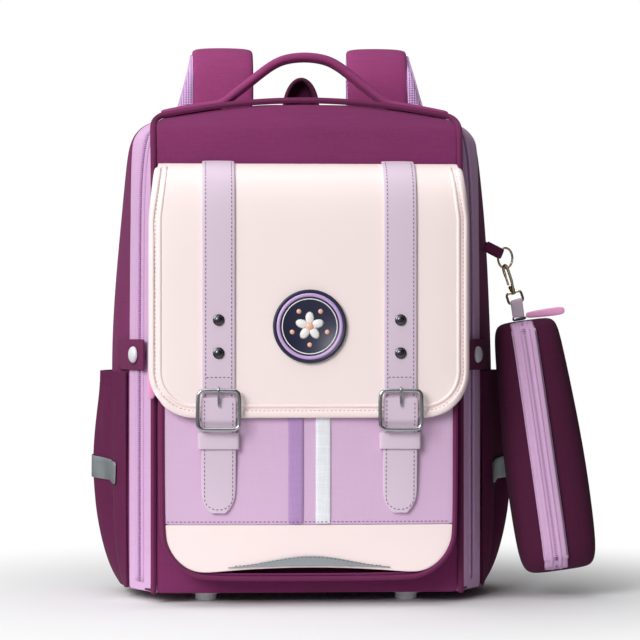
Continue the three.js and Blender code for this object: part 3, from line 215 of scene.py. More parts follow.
WEAVE = Effect("thread weave", {"Place": (VECTOR, None), "Threads": (VECTOR, (8000.0,) * 3)},
               {"Height": FLOAT, "Slub": FLOAT}, build_weave)


def build_mottle(tree: bpy.types.NodeTree, given: dict) -> dict:
    """Colour that drifts a little lighter and darker over a surface."""
    broad = node(tree, "ShaderNodeTexNoise",
                 {"Vector": given["Place"], "Scale": given["Scale"], "Detail": 3.0})
    shift = math_node(tree, "MULTIPLY", math_node(tree, "SUBTRACT", broad.outputs[0], 0.5), given["Amount"])
    value = math_node(tree, "ADD", shift, 1.0)
    tinted = node(tree, "ShaderNodeHueSaturation", {"Color": given["Color"], "Value": value})
    return {"Color": tinted.outputs[0], "Drift": broad.outputs[0]}


MOTTLE = Effect("dye drift",
                {"Place": (VECTOR, None), "Color": (COLOR, (1, 1, 1, 1)), "Amount": (FLOAT, 0.2),
                 "Scale": (FLOAT, 14.0)},
                {"Color": COLOR, "Drift": FLOAT}, build_mottle)


def build_grain(tree: bpy.types.NodeTree, given: dict) -> dict:
    """Pebbled leather grain with a finer noise between its cells."""
    cells = node(tree, "ShaderNodeTexVoronoi", {"Vector": given["Place"], "Scale": given["Scale"]},
                 feature="F1")
    fine = node(tree, "ShaderNodeTexNoise", {"Vector": given["Place"], "Scale": 2600.0, "Detail": 2.0})
    height = math_node(tree, "MULTIPLY_ADD", fine.outputs[0], 0.35, cells.outputs["Distance"])
    return {"Height": height}


GRAIN = Effect("leather grain", {"Place": (VECTOR, None), "Scale": (FLOAT, 1100.0)},
               {"Height": FLOAT}, build_grain)


def build_holes(tree: bpy.types.NodeTree, given: dict) -> dict:
    """Rows of round holes, offset like the cells of an air mesh."""
    scaled = node(tree, "ShaderNodeVectorMath", {0: given["Place"], 3: given["Scale"]}, operation="SCALE")
    axes = node(tree, "ShaderNodeSeparateXYZ", {0: scaled.outputs[0]}).outputs
    run = math_node(tree, "ADD", axes[1], axes[2])
    first = math_node(tree, "SINE", math_node(tree, "ADD", axes[0], run))
    second = math_node(tree, "SINE", math_node(tree, "SUBTRACT", axes[0], run))
    product = math_node(tree, "MULTIPLY", first, second)
    mask = node(tree, "ShaderNodeMapRange", {0: product, 1: 0.15, 2: 0.5}, interpolation_type="SMOOTHSTEP")
    return {"Mask": mask.outputs[0]}


HOLES = Effect("mesh holes", {"Place": (VECTOR, None), "Scale": (FLOAT, 1500.0)},
               {"Mask": FLOAT}, build_holes)


def blank(name: str) -> tuple[bpy.types.Material, bpy.types.NodeTree, bpy.types.Node, bpy.types.NodeSocket]:
    """A node material's parts: itself, its tree, its main shader and its place socket."""
    material = bpy.data.materials.new(name)
    material.use_nodes = True
    tree = material.node_tree
    shader = tree.nodes["Principled BSDF"]
    place = node(tree, "ShaderNodeTexCoord").outputs["Object"]
    return material, tree, shader, place


def relief(tree: bpy.types.NodeTree, shader: bpy.types.Node, height: Socket, strength: float,
           depth: float) -> None:
    """Feeds a height to the shader's normal through a bump.

    Args:
        tree: the material's tree.
        shader: its main shader.
        height: the height, from 0 to about 1.
        strength: share of the bump that shows.
        depth: what a height of 1 stands for, in metres.
    """
    bump = node(tree, "ShaderNodeBump", {"Height": height, "Strength": strength, "Distance": depth})
    tree.links.new(bump.outputs[0], shader.inputs["Normal"])


@dataclass(frozen=True)
class Cloth:
    """Woven cloth: crossed threads, slubs, soft sheen and a dye that drifts."""

    name: str
    color: Color
    slot: str
    roughness: float = 0.82
    threads: tuple[float, float, float] = (7000.0, 7000.0, 7000.0)
    bump: float = 0.35
    drift: float = 0.16
    sheen: float = 0.03
    slub: float = 0.2
    # Colour of an air mesh's holes: a painted shade inside each hole.
    holes: Optional[Color] = None
    hole_scale: float = 1500.0

    def material(self) -> bpy.types.Material:
        """The cloth's material."""
        material, tree, shader, place = blank(self.name)
        weave = WEAVE.place(tree, Place=place, Threads=self.threads)
        dyed = MOTTLE.place(tree, Place=place, Color=(*self.color, 1.0), Amount=self.drift)["Color"]
        slub = math_node(tree, "MULTIPLY_ADD", weave["Slub"], self.slub, 1.0 - self.slub)
        slub_and_hole_shade = node(tree, "ShaderNodeHueSaturation", {"Color": dyed, "Value": slub}).outputs[0]
        height = weave["Height"]
        # Air mesh: the holes take a darker colour, the shade inside each hole painted in, and the bump
        # presses them in.
        if self.holes:
            mask = HOLES.place(tree, Place=place, Scale=self.hole_scale)["Mask"]
            slub_and_hole_shade = node(tree, "ShaderNodeMix", {0: mask, 6: slub_and_hole_shade, 7: (*self.holes, 1.0)},
                        data_type="RGBA").outputs[2]
            height = math_node(tree, "MULTIPLY_ADD", mask, -3.0, height)
        tree.links.new(slub_and_hole_shade, shader.inputs["Base Color"])
        shader.inputs["Roughness"].default_value = self.roughness
        shader.inputs["Sheen Weight"].default_value = self.sheen
        shader.inputs["Sheen Roughness"].default_value = 0.5
        shader.inputs["Specular IOR Level"].default_value = 0.1
        relief(tree, shader, height, self.bump, 0.2 * MM)
        return material


@dataclass(frozen=True)
class Leather:
    """Smooth synthetic leather with a fine pebbled grain."""

    name: str
    color: Color
    slot: str
    roughness: float = 0.5
    grain: float = 1100.0
    bump: float = 0.12
    drift: float = 0.06

    def material(self) -> bpy.types.Material:
        """The leather's material."""
        material, tree, shader, place = blank(self.name)
        dyed = MOTTLE.place(tree, Place=place, Color=(*self.color, 1.0), Amount=self.drift, Scale=9.0)
        tree.links.new(dyed["Color"], shader.inputs["Base Color"])
        grain = GRAIN.place(tree, Place=place, Scale=self.grain)["Height"]
        gloss = math_node(tree, "MULTIPLY_ADD", dyed["Drift"], 0.16, self.roughness - 0.08)
        tree.links.new(gloss, shader.inputs["Roughness"])
        shader.inputs["Specular IOR Level"].default_value = 0.35
        shader.inputs["Coat Weight"].default_value = 0.06
        shader.inputs["Coat Roughness"].default_value = 0.35
        relief(tree, shader, grain, self.bump, 0.15 * MM)
        return material


@dataclass(frozen=True)
class Metal:
    """Plated metal with faint smears and hair scratches."""

    name: str
    color: Color
    slot: str
    roughness: float = 0.14
    smear: float = 0.12

    def material(self) -> bpy.types.Material:
        """The metal's material."""
        material, tree, shader, place = blank(self.name)
        shade = MOTTLE.place(tree, Place=place, Color=(*self.color, 1.0), Amount=0.08, Scale=220.0)
        tree.links.new(shade["Color"], shader.inputs["Base Color"])
        smears = math_node(tree, "MULTIPLY_ADD", shade["Drift"], self.smear, self.roughness)
        tree.links.new(smears, shader.inputs["Roughness"])
        shader.inputs["Metallic"].default_value = 1.0
        hair = node(tree, "ShaderNodeTexNoise", {"Vector": place, "Scale": 3200.0, "Detail": 1.0})
        relief(tree, shader, hair.outputs[0], 0.05, 0.05 * MM)
        return material


@dataclass(frozen=True)
class Moulded:
    """Moulded plastic or rubber with a faint orange-peel skin."""

    name: str
    color: Color
    slot: str
    roughness: float = 0.42
    bump: float = 0.08
    drift: float = 0.05
    coat: float = 0.0

    def material(self) -> bpy.types.Material:
        """The moulding's material."""
        material, tree, shader, place = blank(self.name)
        tinted = MOTTLE.place(tree, Place=place, Color=(*self.color, 1.0), Amount=self.drift, Scale=60.0)
        tree.links.new(tinted["Color"], shader.inputs["Base Color"])
        gloss = math_node(tree, "MULTIPLY_ADD", tinted["Drift"], 0.14, self.roughness - 0.07)
        tree.links.new(gloss, shader.inputs["Roughness"])
        shader.inputs["Coat Weight"].default_value = self.coat
        skin_noise = node(tree, "ShaderNodeTexNoise", {"Vector": place, "Scale": 900.0, "Detail": 2.0})
        relief(tree, shader, skin_noise.outputs[0], self.bump, 0.1 * MM)
        return material


Finish = Union[Cloth, Leather, Metal, Moulded]

# Finishes of the bag, by the record's slots
MAROON = Cloth("maroon polyester", srgb(124, 50, 97), "maroon_cloth")
# Darker copy of the maroon for the side pockets and the base, which face sideways and down: painted shade.
MAROON_SHADED = Cloth("maroon painted side shade", srgb(96, 36, 72), "maroon_cloth", drift=0.2)
MAROON_BINDING = Cloth("maroon binding", srgb(112, 46, 86), "maroon_cloth", threads=(9000.0, 9000.0, 9000.0))
LILAC_TAPE = Cloth("lilac zip tape", srgb(216, 176, 214), "lilac_cloth", drift=0.08, slub=0.08)
LILAC_LIP = Cloth("lilac zip lip", srgb(214, 172, 212), "lilac_cloth", drift=0.05, slub=0.08)
LILAC_PANEL = Cloth("lilac pocket cloth", srgb(219, 185, 217), "pocket_cloth", drift=0.06, slub=0.05,
                    bump=0.12)
# Air mesh whose holes take a darker lilac: painted shade inside each hole.
AIR_MESH = Cloth("lilac air mesh", srgb(226, 190, 236), "lilac_cloth", holes=srgb(118, 62, 132), bump=0.6)
PURPLE_RIBBON = Cloth("purple ribbon", srgb(184, 148, 198), "purple_print", drift=0.05, bump=0.2)
WHITE_RIBBON = Cloth("white ribbon", srgb(238, 240, 246), "white_print", drift=0.04, bump=0.2)
# Lighter copy of the maroon for the straps and the top handle: painted light, as if they caught more light
# than the body.
MAROON_STRAP_LIT = Cloth("maroon strap cloth painted lighter", srgb(150, 64, 116), "maroon_cloth")
CASE_CLOTH = Cloth("maroon case cloth", srgb(78, 29, 57), "maroon_cloth")
WEBBING = Cloth("ribbed webbing", srgb(92, 38, 70), "webbing", threads=(2600.0, 2600.0, 5200.0), bump=0.7)
COIL_PURPLE = Moulded("purple zip coil", srgb(132, 86, 142), "lilac_cloth", roughness=0.45)
COIL_MAROON = Moulded("maroon zip coil", srgb(88, 36, 66), "maroon_cloth", roughness=0.45)
THREAD_PURPLE = Moulded("purple thread", srgb(128, 104, 136), "lilac_leather", roughness=0.6)
THREAD_CREAM = Moulded("cream thread", srgb(222, 192, 192), "cream_leather", roughness=0.6)
THREAD_GREY = Moulded("grey thread", srgb(120, 122, 128), "reflective")
CREAM = Leather("cream leather", srgb(255, 238, 236), "cream_leather")
LILAC_LEATHER = Leather("lilac leather", srgb(222, 202, 220), "lilac_leather", roughness=0.46)
REFLECTIVE = Metal("reflective tape", srgb(176, 182, 186), "reflective", roughness=0.42)
CHROME = Metal("polished chrome", srgb(188, 189, 193), "chrome", roughness=0.08)
PALE_GOLD = Metal("pale gold plate", srgb(226, 206, 170), "pale_gold", roughness=0.14)
GUNMETAL = Metal("gunmetal plate", srgb(92, 92, 98), "gunmetal", roughness=0.18)
NAVY = Moulded("navy badge rubber", srgb(38, 40, 66), "badge_rubber", roughness=0.4)
BADGE_LILAC = Moulded("lilac badge enamel", srgb(206, 172, 226), "badge_rubber", roughness=0.4)
BADGE_WHITE = Moulded("white badge enamel", srgb(246, 244, 240), "badge_rubber", roughness=0.4)
BADGE_PEACH = Moulded("peach badge enamel", srgb(246, 190, 168), "badge_rubber", roughness=0.4)
BLACK_PLASTIC = Moulded("black buckle plastic", srgb(46, 26, 38), "black_plastic", roughness=0.5)
SNAP_WHITE = Moulded("white snap", srgb(228, 228, 234), "white_plastic", roughness=0.22, coat=0.3)
FOOT_GREY = Moulded("pale foot plastic", srgb(228, 230, 232), "grey_plastic", roughness=0.4)
PINK_PULL = Moulded("pink pull rubber", srgb(246, 168, 216), "pink_rubber", roughness=0.3, coat=0.25)

made_materials: dict[str, bpy.types.Material] = {}


def paint(obj: bpy.types.Object, *finishes: Finish) -> None:
    """Gives a piece its finishes, each made once.

    Args:
        obj: the piece.
        finishes: its finishes, in the order of its material slots.
    """
    obj.data.materials.clear()
    for finish in finishes:
        if finish.name not in made_materials:
            made_materials[finish.name] = finish.material()
        obj.data.materials.append(made_materials[finish.name])


# Mesh helpers


def link(mesh: bpy.types.Mesh, name: str) -> bpy.types.Object:
    """An object in the scene that shows a mesh."""
    obj = bpy.data.objects.new(name, mesh)
    bpy.context.scene.collection.objects.link(obj)
    return obj


def piece(bm: bmesh.types.BMesh, name: str, smooth: bool = True) -> bpy.types.Object:
    """Turns a bmesh into a linked piece.

    Args:
        bm: the shape, freed here.
        name: the piece's name.
        smooth: whether its faces are shaded smooth.

    Returns:
        The new object.
    """
    mesh = bpy.data.meshes.new(name)
    bm.to_mesh(mesh)
    bm.free()
    mesh.shade_smooth() if smooth else mesh.shade_flat()
    return link(mesh, name)


def dress(obj: bpy.types.Object, *finishes: Finish, body: Body = Body.BAG,
          replaces: Iterable[str] = ()) -> bpy.types.Object:
    """Paints a piece, lets it ride on its body and hides the frame nodes that it stands for.

    Args:
        obj: the finished piece.
        finishes: its finishes; the first one gives the material slot.
        body: the body that it moves with.
        replaces: frame nodes that it stands for.

    Returns:
        The same piece.
    """
    paint(obj, *finishes)
    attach(obj, body.value)
    names = list(replaces)
    if names:
        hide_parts(*names)
    return obj


def settle(obj: bpy.types.Object) -> bpy.types.Object:
    """Applies a piece's modifiers to its mesh."""
    bpy.context.view_layer.update()
    graph = bpy.context.evaluated_depsgraph_get()
    mesh = bpy.data.meshes.new_from_object(obj.evaluated_get(graph))
    old = obj.data
    obj.modifiers.clear()
    obj.data = mesh
    bpy.data.meshes.remove(old)
    obj.data.shade_smooth()
    return obj


def subdivided(obj: bpy.types.Object, levels: int) -> bpy.types.Object:
    """Subdivides a piece into a smooth surface and applies it.

    Args:
        obj: the piece.
        levels: how often it is subdivided.

    Returns:
        The same piece.
    """
    modifier = obj.modifiers.new("smooth", "SUBSURF")
    modifier.levels = modifier.render_levels = levels
    return settle(obj)


def merged(name: str) -> bmesh.types.BMesh:
    """Merged copy of a frame node's mesh, its triangles paired into quads."""
    bm = bmesh.new()
    bm.from_mesh(frame["nodes"][name].data)
    bmesh.ops.remove_doubles(bm, verts=bm.verts, dist=0.01 * MM)
    bmesh.ops.join_triangles(bm, faces=bm.faces, angle_face_threshold=math.radians(35),
                             angle_shape_threshold=math.radians(60))
    return bm


def creased(bm: bmesh.types.BMesh, angle: float, amount: float) -> None:
    """Creases the sharp edges of a mesh.

    Args:
        bm: the mesh.
        angle: edges that fold by more than this many degrees are creased.
        amount: how crisp they become, from 0 to 1.
    """
    layer = bm.edges.layers.float.get("crease_edge") or bm.edges.layers.float.new("crease_edge")
    for edge in bm.edges:
        if len(edge.link_faces) == 2 and edge.calc_face_angle(0.0) > math.radians(angle):
            edge[layer] = amount


def skin(source: str, name: str, levels: int = 2, angle: float = 50, crease: float = 0.7,
         swell: float = 0.0) -> bpy.types.Object:
    """Smooth skin over a frame node.

    Args:
        source: the frame node.
        name: the new piece's name.
        levels: how often it is subdivided.
        angle: folds sharper than this many degrees stay crisp.
        crease: how crisp they stay, from 0 to 1.
        swell: how far the skin stands out from the node, in metres.

    Returns:
        The new piece, its modifiers applied.
    """
    bm = merged(source)
    creased(bm, angle, crease)
    obj = subdivided(piece(bm, name), levels)
    if swell:
        normals = [vertex.normal.copy() for vertex in obj.data.vertices]
        for vertex, normal in zip(obj.data.vertices, normals):
            vertex.co += normal * swell
    return obj


def cover(source: str, name: str, finish: Finish, levels: int = 2, body: Body = Body.BAG,
          **shape: float) -> bpy.types.Object:
    """Dresses a frame node in one smooth skin that stands for it.

    Args:
        source: the frame node.
        name: the new piece's name.
        finish: the skin's finish.
        levels: how often it is subdivided.
        body: the body that it moves with.
        shape: angle, crease or swell of the skin.

    Returns:
        The new piece.
    """
    return dress(skin(source, name, levels, **shape), finish, body=body, replaces=[source])


def ripple(obj: bpy.types.Object, depth: float, size: Sequence[float], along: Optional[Vector] = None,
           weight: Callable[[Vector], float] = lambda place: 1.0, seed: float = 0.0) -> None:
    """Moves a piece's points by a soft noise, as cloth that was handled.

    Args:
        obj: the piece.
        depth: the largest move in metres.
        size: length of a ripple along each axis, in metres.
        along: direction of the move, or None for each point's own normal.
        weight: share of the move at a place.
        seed: offset of the noise.
    """
    shift = Vector((seed, 2 * seed, 3 * seed))
    moves = []
    for vertex in obj.data.vertices:
        place = vertex.co
        value = noise.noise(Vector((place.x / size[0], place.y / size[1], place.z / size[2])) + shift)
        moves.append((along or vertex.normal).normalized() * (depth * value * weight(place)))
    for vertex, move in zip(obj.data.vertices, moves):
        vertex.co += move
    obj.data.update()


def push(obj: bpy.types.Object, move: Callable[[Vector], Vector]) -> None:
    """Moves each point of a piece.

    Args:
        obj: the piece.
        move: gives a point's move from its place.
    """
    for vertex in obj.data.vertices:
        vertex.co += move(vertex.co.copy())
    obj.data.update()


def bump_at(value: float, centre: float, width: float) -> float:
    """A smooth hump of height 1 round a value."""
    return math.exp(-(((value - centre) / width) ** 2))


def clamped(value: float) -> float:
    """A value kept between 0 and 1."""
    return max(0.0, min(1.0, value))


Spot = tuple[Vector, Vector]


class Surface:
    """Places on the outside of finished pieces, found by rays."""

    def __init__(self, *objs: bpy.types.Object) -> None:
        """Builds one search tree over the pieces."""
        bm = bmesh.new()
        for obj in objs:
            bm.from_mesh(obj.data)
        self.tree = BVHTree.FromBMesh(bm)
        bm.free()

    def hit(self, origin: Vector, direction: Vector) -> Optional[Spot]:
        """First place that a ray meets.

        Args:
            origin: where the ray starts.
            direction: where it goes.

        Returns:
            The place and its normal towards the ray, or None.
        """
        point, normal, _, _ = self.tree.ray_cast(origin, direction)
        if point is None:
            return None
        return point, normal if normal.dot(direction) < 0 else -normal

    def front(self, x: float, z: float) -> Optional[Spot]:
        """The place seen from the front at x and z."""
        return self.hit(Vector((x, -1.0, z)), BACK)

    def over(self, places: Iterable[tuple[float, float]]) -> list[Spot]:
        """Places seen from the front along a path of x and z."""
        return [spot for spot in (self.front(x, z) for x, z in places) if spot]

    def girdle(self, centre: Vector, start: float, stop: float, count: int) -> list[Spot]:
        """Places met by rays towards a centre in the plane of x and z.

        Args:
            centre: the point that the rays aim at.
            start, stop: angles in degrees, 0 straight up and 90 to the right.
            count: number of rays.

        Returns:
            The places and their normals.
        """
        spots = []
        for i in range(count):
            angle = math.radians(start + (stop - start) * i / (count - 1))
            out = Vector((math.sin(angle), 0, math.cos(angle)))
            spots.append(self.hit(centre + out * 0.6, -out))
        return [spot for spot in spots if spot]


def evenly(spots: Sequence[Spot], pitch: float) -> list[tuple[Vector, Vector, Vector]]:
    """Places at an even pitch along a path.

    Args:
        spots: the path's points and normals.
        pitch: distance between two places in metres.

    Returns:
        Point, normal and direction of each place.
    """
    made = []
    left = 0.0
    for (a, normal_a), (b, normal_b) in zip(spots, spots[1:]):
        run = b - a
        length = run.length
        if length < 1e-9:
            continue
        while left <= length:
            share = left / length
            made.append((a.lerp(b, share), normal_a.lerp(normal_b, share).normalized(), run / length))
            left += pitch
        left -= length
    return made


def beads(name: str, spots: Sequence[tuple[Vector, Vector, Vector]], size: Sequence[float], lift: float,
          sides: int = 6) -> bpy.types.Object:
    """One mesh of small rounded beads, such as stitches or zip teeth.

    Args:
        name: the piece's name.
        spots: point, normal and direction of each bead.
        size: half lengths along the path, across it and away from the surface.
        lift: how far the beads' middles stand off the surface.
        sides: sides of each bead.

    Returns:
        The new piece.
    """
    one = bmesh.new()
    bmesh.ops.create_uvsphere(one, u_segments=sides, v_segments=4, radius=1.0)
    bead = bpy.data.meshes.new("bead")
    one.to_mesh(bead)
    one.free()
    bm = bmesh.new()
    for point, normal, along in spots:
        across = normal.cross(along).normalized()
        out = along.cross(across).normalized()
        turn = Matrix((along, across, out)).transposed().to_4x4()
        copy = bead.copy()
        copy.transform(Matrix.Translation(point + normal * lift) @ turn @ Matrix.Diagonal((*size, 1.0)))
        bm.from_mesh(copy)
        bpy.data.meshes.remove(copy)
    bpy.data.meshes.remove(bead)
    return piece(bm, name)


@dataclass(frozen=True)
class Thread:
    """A row of stitches."""

    finish: Finish
    pitch: float = 3.3 * MM
    length: float = 2.1 * MM
    radius: float = 0.42 * MM

    def sew(self, name: str, *runs: Sequence[Spot], body: Body = Body.BAG) -> Optional[bpy.types.Object]:
        """Sews runs of places as one piece.

        Args:
            name: the piece's name.
            runs: points and normals of each row.
            body: the body that it moves with.

        Returns:
            The stitches, or None where no place was found.
        """
        spots = [spot for run in runs for spot in evenly(run, self.pitch)]
        if not spots:
            return None
        size = (self.length / 2, self.radius, self.radius)
        return dress(beads(name, spots, size, 0.1 * MM), self.finish, body=body)


def sweep(name: str, rings: Sequence[Sequence[Vector]], closed: bool = False) -> bpy.types.Object:
    """Extrudes a closed ring of points through a row of rings.

    Args:
        name: the piece's name.
        rings: rings with the same number of points each.
        closed: whether the last ring joins the first one.

    Returns:
        The new piece, capped at its ends unless it is closed.
    """
    bm = bmesh.new()
    count = len(rings[0])
    first = [bm.verts.new(point) for point in rings[0]]
    current = first
    edges = [bm.edges.new((current[i], current[(i + 1) % count])) for i in range(count)]
    first_edges = list(edges)
    for ring in rings[1:]:
        index = {vert: i for i, vert in enumerate(current)}
        made = bmesh.ops.extrude_edge_only(bm, edges=edges)["geom"]
        fresh: list = [None] * count
        for vert in (part for part in made if isinstance(part, bmesh.types.BMVert)):
            source = next(edge.other_vert(vert) for edge in vert.link_edges if edge.other_vert(vert) in index)
            fresh[index[source]] = vert
        for vert, point in zip(fresh, ring):
            vert.co = point
        current = fresh
        edges = [bm.edges.get((current[i], current[(i + 1) % count])) for i in range(count)]
    if closed:
        bmesh.ops.bridge_loops(bm, edges=first_edges + edges)
    else:
        bmesh.ops.contextual_create(bm, geom=first_edges)
        bmesh.ops.contextual_create(bm, geom=edges)
    bmesh.ops.recalc_face_normals(bm, faces=bm.faces)
    return piece(bm, name)


def ring_of(point: Vector, across: Vector, out: Vector,
            section: Sequence[tuple[float, float]]) -> list[Vector]:
    """A section's points about a place.

    Args:
        point: the section's origin.
        across, out: its two directions.
        section: pairs along them.

    Returns:
        The points.
    """
    return [point + across * a + out * b for a, b in section]


def oval(half_width: float, half_height: float, sides: int, power: float = 1.0) -> list[tuple[float, float]]:
    """Points of an oval section.

    Args:
        half_width, half_height: its half sizes.
        sides: number of points.
        power: 1 for an ellipse, squarer below that.

    Returns:
        Pairs across and out.
    """
    points = []
    for i in range(sides):
        angle = 2 * math.pi * i / sides
        c, s = math.cos(angle), math.sin(angle)
        points.append((math.copysign(abs(c) ** power, c) * half_width,
                       math.copysign(abs(s) ** power, s) * half_height))
    return points


def strip(name: str, spots: Sequence[Spot], section: Sequence[tuple[float, float]], lift: float = 0.0,
          closed: bool = False) -> bpy.types.Object:
    """A band of one section that lies on a surface along a path.

    Args:
        name: the piece's name.
        spots: the path's points and normals.
        section: pairs across the band and away from the surface.
        lift: distance of the section's origin from the surface.
        closed: whether the path is a loop.

    Returns:
        The new piece.
    """
    rings = []
    last = len(spots) - 1
    for i, (point, normal) in enumerate(spots):
        before = spots[(i - 1) % len(spots)] if closed else spots[max(i - 1, 0)]
        after = spots[(i + 1) % len(spots)] if closed else spots[min(i + 1, last)]
        along = (after[0] - before[0]).normalized()
        across = normal.cross(along).normalized()
        out = along.cross(across).normalized()
        rings.append(ring_of(point + normal * lift, across, out, section))
    return sweep(name, rings, closed)


def tube(name: str, points: Sequence[Vector], radius: float, closed: bool = False,
         sides: int = 10) -> bpy.types.Object:
    """A round wire or welt through points.

    Args:
        name: the piece's name.
        points: the middle line.
        radius: half its thickness in metres.
        closed: whether the line is a loop.
        sides: sides of its section.

    Returns:
        The new piece.
    """
    centre = sum(points, Vector()) / len(points)
    rings = []
    last = len(points) - 1
    up = None
    for i, point in enumerate(points):
        before = points[(i - 1) % len(points)] if closed else points[max(i - 1, 0)]
        after = points[(i + 1) % len(points)] if closed else points[min(i + 1, last)]
        along = (after - before).normalized()
        guess = up if up is not None else (point - centre if (point - centre).length > 1e-6 else UP)
        across = along.cross(guess)
        if across.length < 1e-6:
            across = along.orthogonal()
        across.normalize()
        up = across.cross(along).normalized()
        rings.append(ring_of(point, across, up, oval(radius, radius, sides)))
    return sweep(name, rings, closed)


def turned(name: str, profile: Sequence[tuple[float, float]], place: Vector, axis: Vector, steps: int = 32,
           bevel: float = 0.0) -> bpy.types.Object:
    """A turned piece.

    Args:
        name: the piece's name.
        profile: radius and height of each point, from the axis round to the axis.
        place: where the profile's origin goes.
        axis: direction of the heights.
        steps: steps of the full turn.
        bevel: width of the bevel on its sharp edges.

    Returns:
        The new piece.
    """
    bm = bmesh.new()
    verts = [bm.verts.new((radius, 0, height)) for radius, height in profile]
    edges = [bm.edges.new(pair) for pair in zip(verts, verts[1:])]
    bmesh.ops.spin(bm, geom=verts + edges, cent=(0, 0, 0), axis=(0, 0, 1), angle=2 * math.pi, steps=steps,
                   use_merge=True)
    bmesh.ops.remove_doubles(bm, verts=bm.verts, dist=1e-6)
    bmesh.ops.recalc_face_normals(bm, faces=bm.faces)
    if bevel:
        sharp = [edge for edge in bm.edges if edge.calc_face_angle(0.0) > math.radians(35)]
        bmesh.ops.bevel(bm, geom=sharp, offset=bevel, segments=2, profile=0.5, affect="EDGES", material=-1)
    bmesh.ops.rotate(bm, verts=bm.verts, matrix=UP.rotation_difference(axis).to_matrix())
    bmesh.ops.translate(bm, verts=bm.verts, vec=place)
    return piece(bm, name)


def middle(name: str) -> Vector:
    """Middle of a frame node's box."""
    low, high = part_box(name)
    return (low + high) / 2


def rear(name: str) -> Vector:
    """Middle of the rear face of a frame node's box."""
    low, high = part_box(name)
    return Vector(((low.x + high.x) / 2, high.y, (low.z + high.z) / 2))


@dataclass(frozen=True)
class ZipRun:
    """A coil zip: two folded lips with a row of teeth sunk between them."""

    lip: Finish
    coil: Finish
    half_gap: float = 2.1 * MM
    lip_radius: float = 1.15 * MM
    pitch: float = 1.5 * MM

    def lay(self, name: str, spots: Sequence[Spot], body: Body = Body.BAG, closed: bool = False) -> None:
        """Lays lips and teeth along a path on the tape.

        Args:
            name: start of the pieces' names.
            spots: the path's points and normals.
            body: the body that they move with.
            closed: whether the path is a loop.
        """
        smooth_path = [(point, normal) for point, normal, _ in evenly(spots, 6 * MM)]
        for sign, word in SIDES:
            section = [(a + sign * (self.half_gap + self.lip_radius), b)
                       for a, b in oval(1.25 * self.lip_radius, self.lip_radius, 8)]
            obj = strip(f"{name}_lip_{word}", smooth_path, section, 0.1 * MM, closed)
            dress(obj, self.lip, body=body)
        teeth = evenly(spots, self.pitch)
        size = (0.52 * MM, 1.7 * MM, 0.75 * MM)
        dress(beads(f"{name}_coil", teeth, size, 0.35 * MM), self.coil, body=body)
        LOG.info("%s: %d teeth", name, len(teeth))


@dataclass
class Shell:
    """The bag's body: front panel, zip gusset, side shell, back pad, base and binding."""

    zip_depth: float = 24 * MM
    tuck_in: float = 4.5 * MM
    tuck_depth: float = 42 * MM
    box: tuple = field(default_factory=lambda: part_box("zip_gusset"))
    girdle_start: float = 144.0
    binding_swell: float = 0.7 * MM
    ripple_depth: float = 1.6 * MM
    ripple_size: tuple[float, float, float] = (90 * MM, 90 * MM, 50 * MM)
    panel_share: float = 0.6
    side_depth: float = 2.2 * MM
    side_size: tuple[float, float, float] = (500 * MM, 60 * MM, 120 * MM)
    coil: ZipRun = ZipRun(LILAC_LIP, COIL_PURPLE, half_gap=2.6 * MM, lip_radius=1.6 * MM)
    rays: int = 260
    zip_middle: float = 200 * MM
    calm: float = 20 * MM
    fade: float = 80 * MM
    gusset: Optional[bpy.types.Object] = None

    def build(self) -> None:
        """Builds the body's pieces."""
        self.cloth()
        self.zip()
        self.back()

    def cloth(self) -> None:
        """Sewn cloth panels."""
        panel = skin("front_panel", "front_panel_cloth", 3)
        push(panel, self.tuck)
        ripple(panel, self.ripple_depth, self.ripple_size, FRONT, lambda place: self.panel_share)
        dress(panel, MAROON, replaces=["front_panel"])
        self.gusset = skin("zip_gusset", "zip_gusset_cloth", 3)
        push(self.gusset, self.tuck)
        dress(self.gusset, LILAC_TAPE, replaces=["zip_gusset"])
        shell = skin("side_shell", "side_shell_cloth", 3)
        ripple(shell, self.side_depth, self.side_size, RIGHT, self.side_weight)
        dress(shell, MAROON, replaces=["side_shell"])
        # The base wears the darker maroon copy: painted shade.
        cover("base_panel", "base_panel_cloth", MAROON_SHADED)
        binding = skin("front_piping", "front_binding", 3, swell=self.binding_swell)
        push(binding, self.tuck)
        dress(binding, MAROON_BINDING, replaces=["front_piping"])

    def tuck(self, place: Vector) -> Vector:
        """Draws the front edges in towards the middle, less and less towards the side walls."""
        low, high = self.box
        half = (high.x - low.x) / 2
        share = clamped((place.y - low.y) / self.tuck_depth)
        fade = 1 - share * share * (3 - 2 * share)
        return RIGHT * (-self.tuck_in * fade * (place.x - (low.x + half)) / half)

    def side_weight(self, place: Vector) -> float:
        """Ripples run on the sides and fade out at the base."""
        return clamped((place.z - self.calm) / self.fade)

    def zip(self) -> None:
        """Coil zip along the middle of the gusset."""
        low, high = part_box("zip_gusset")
        surface = Surface(self.gusset)
        centre = Vector(((low.x + high.x) / 2, low.y + self.zip_depth, self.zip_middle))
        self.coil.lay("gusset_zip", surface.girdle(centre, -self.girdle_start, self.girdle_start, self.rays))

    def back(self) -> None:
        """Padded back panel."""
        pad = padded_pad("back_panel", "back_pad")
        dress(pad, MAROON, replaces=["back_panel"])


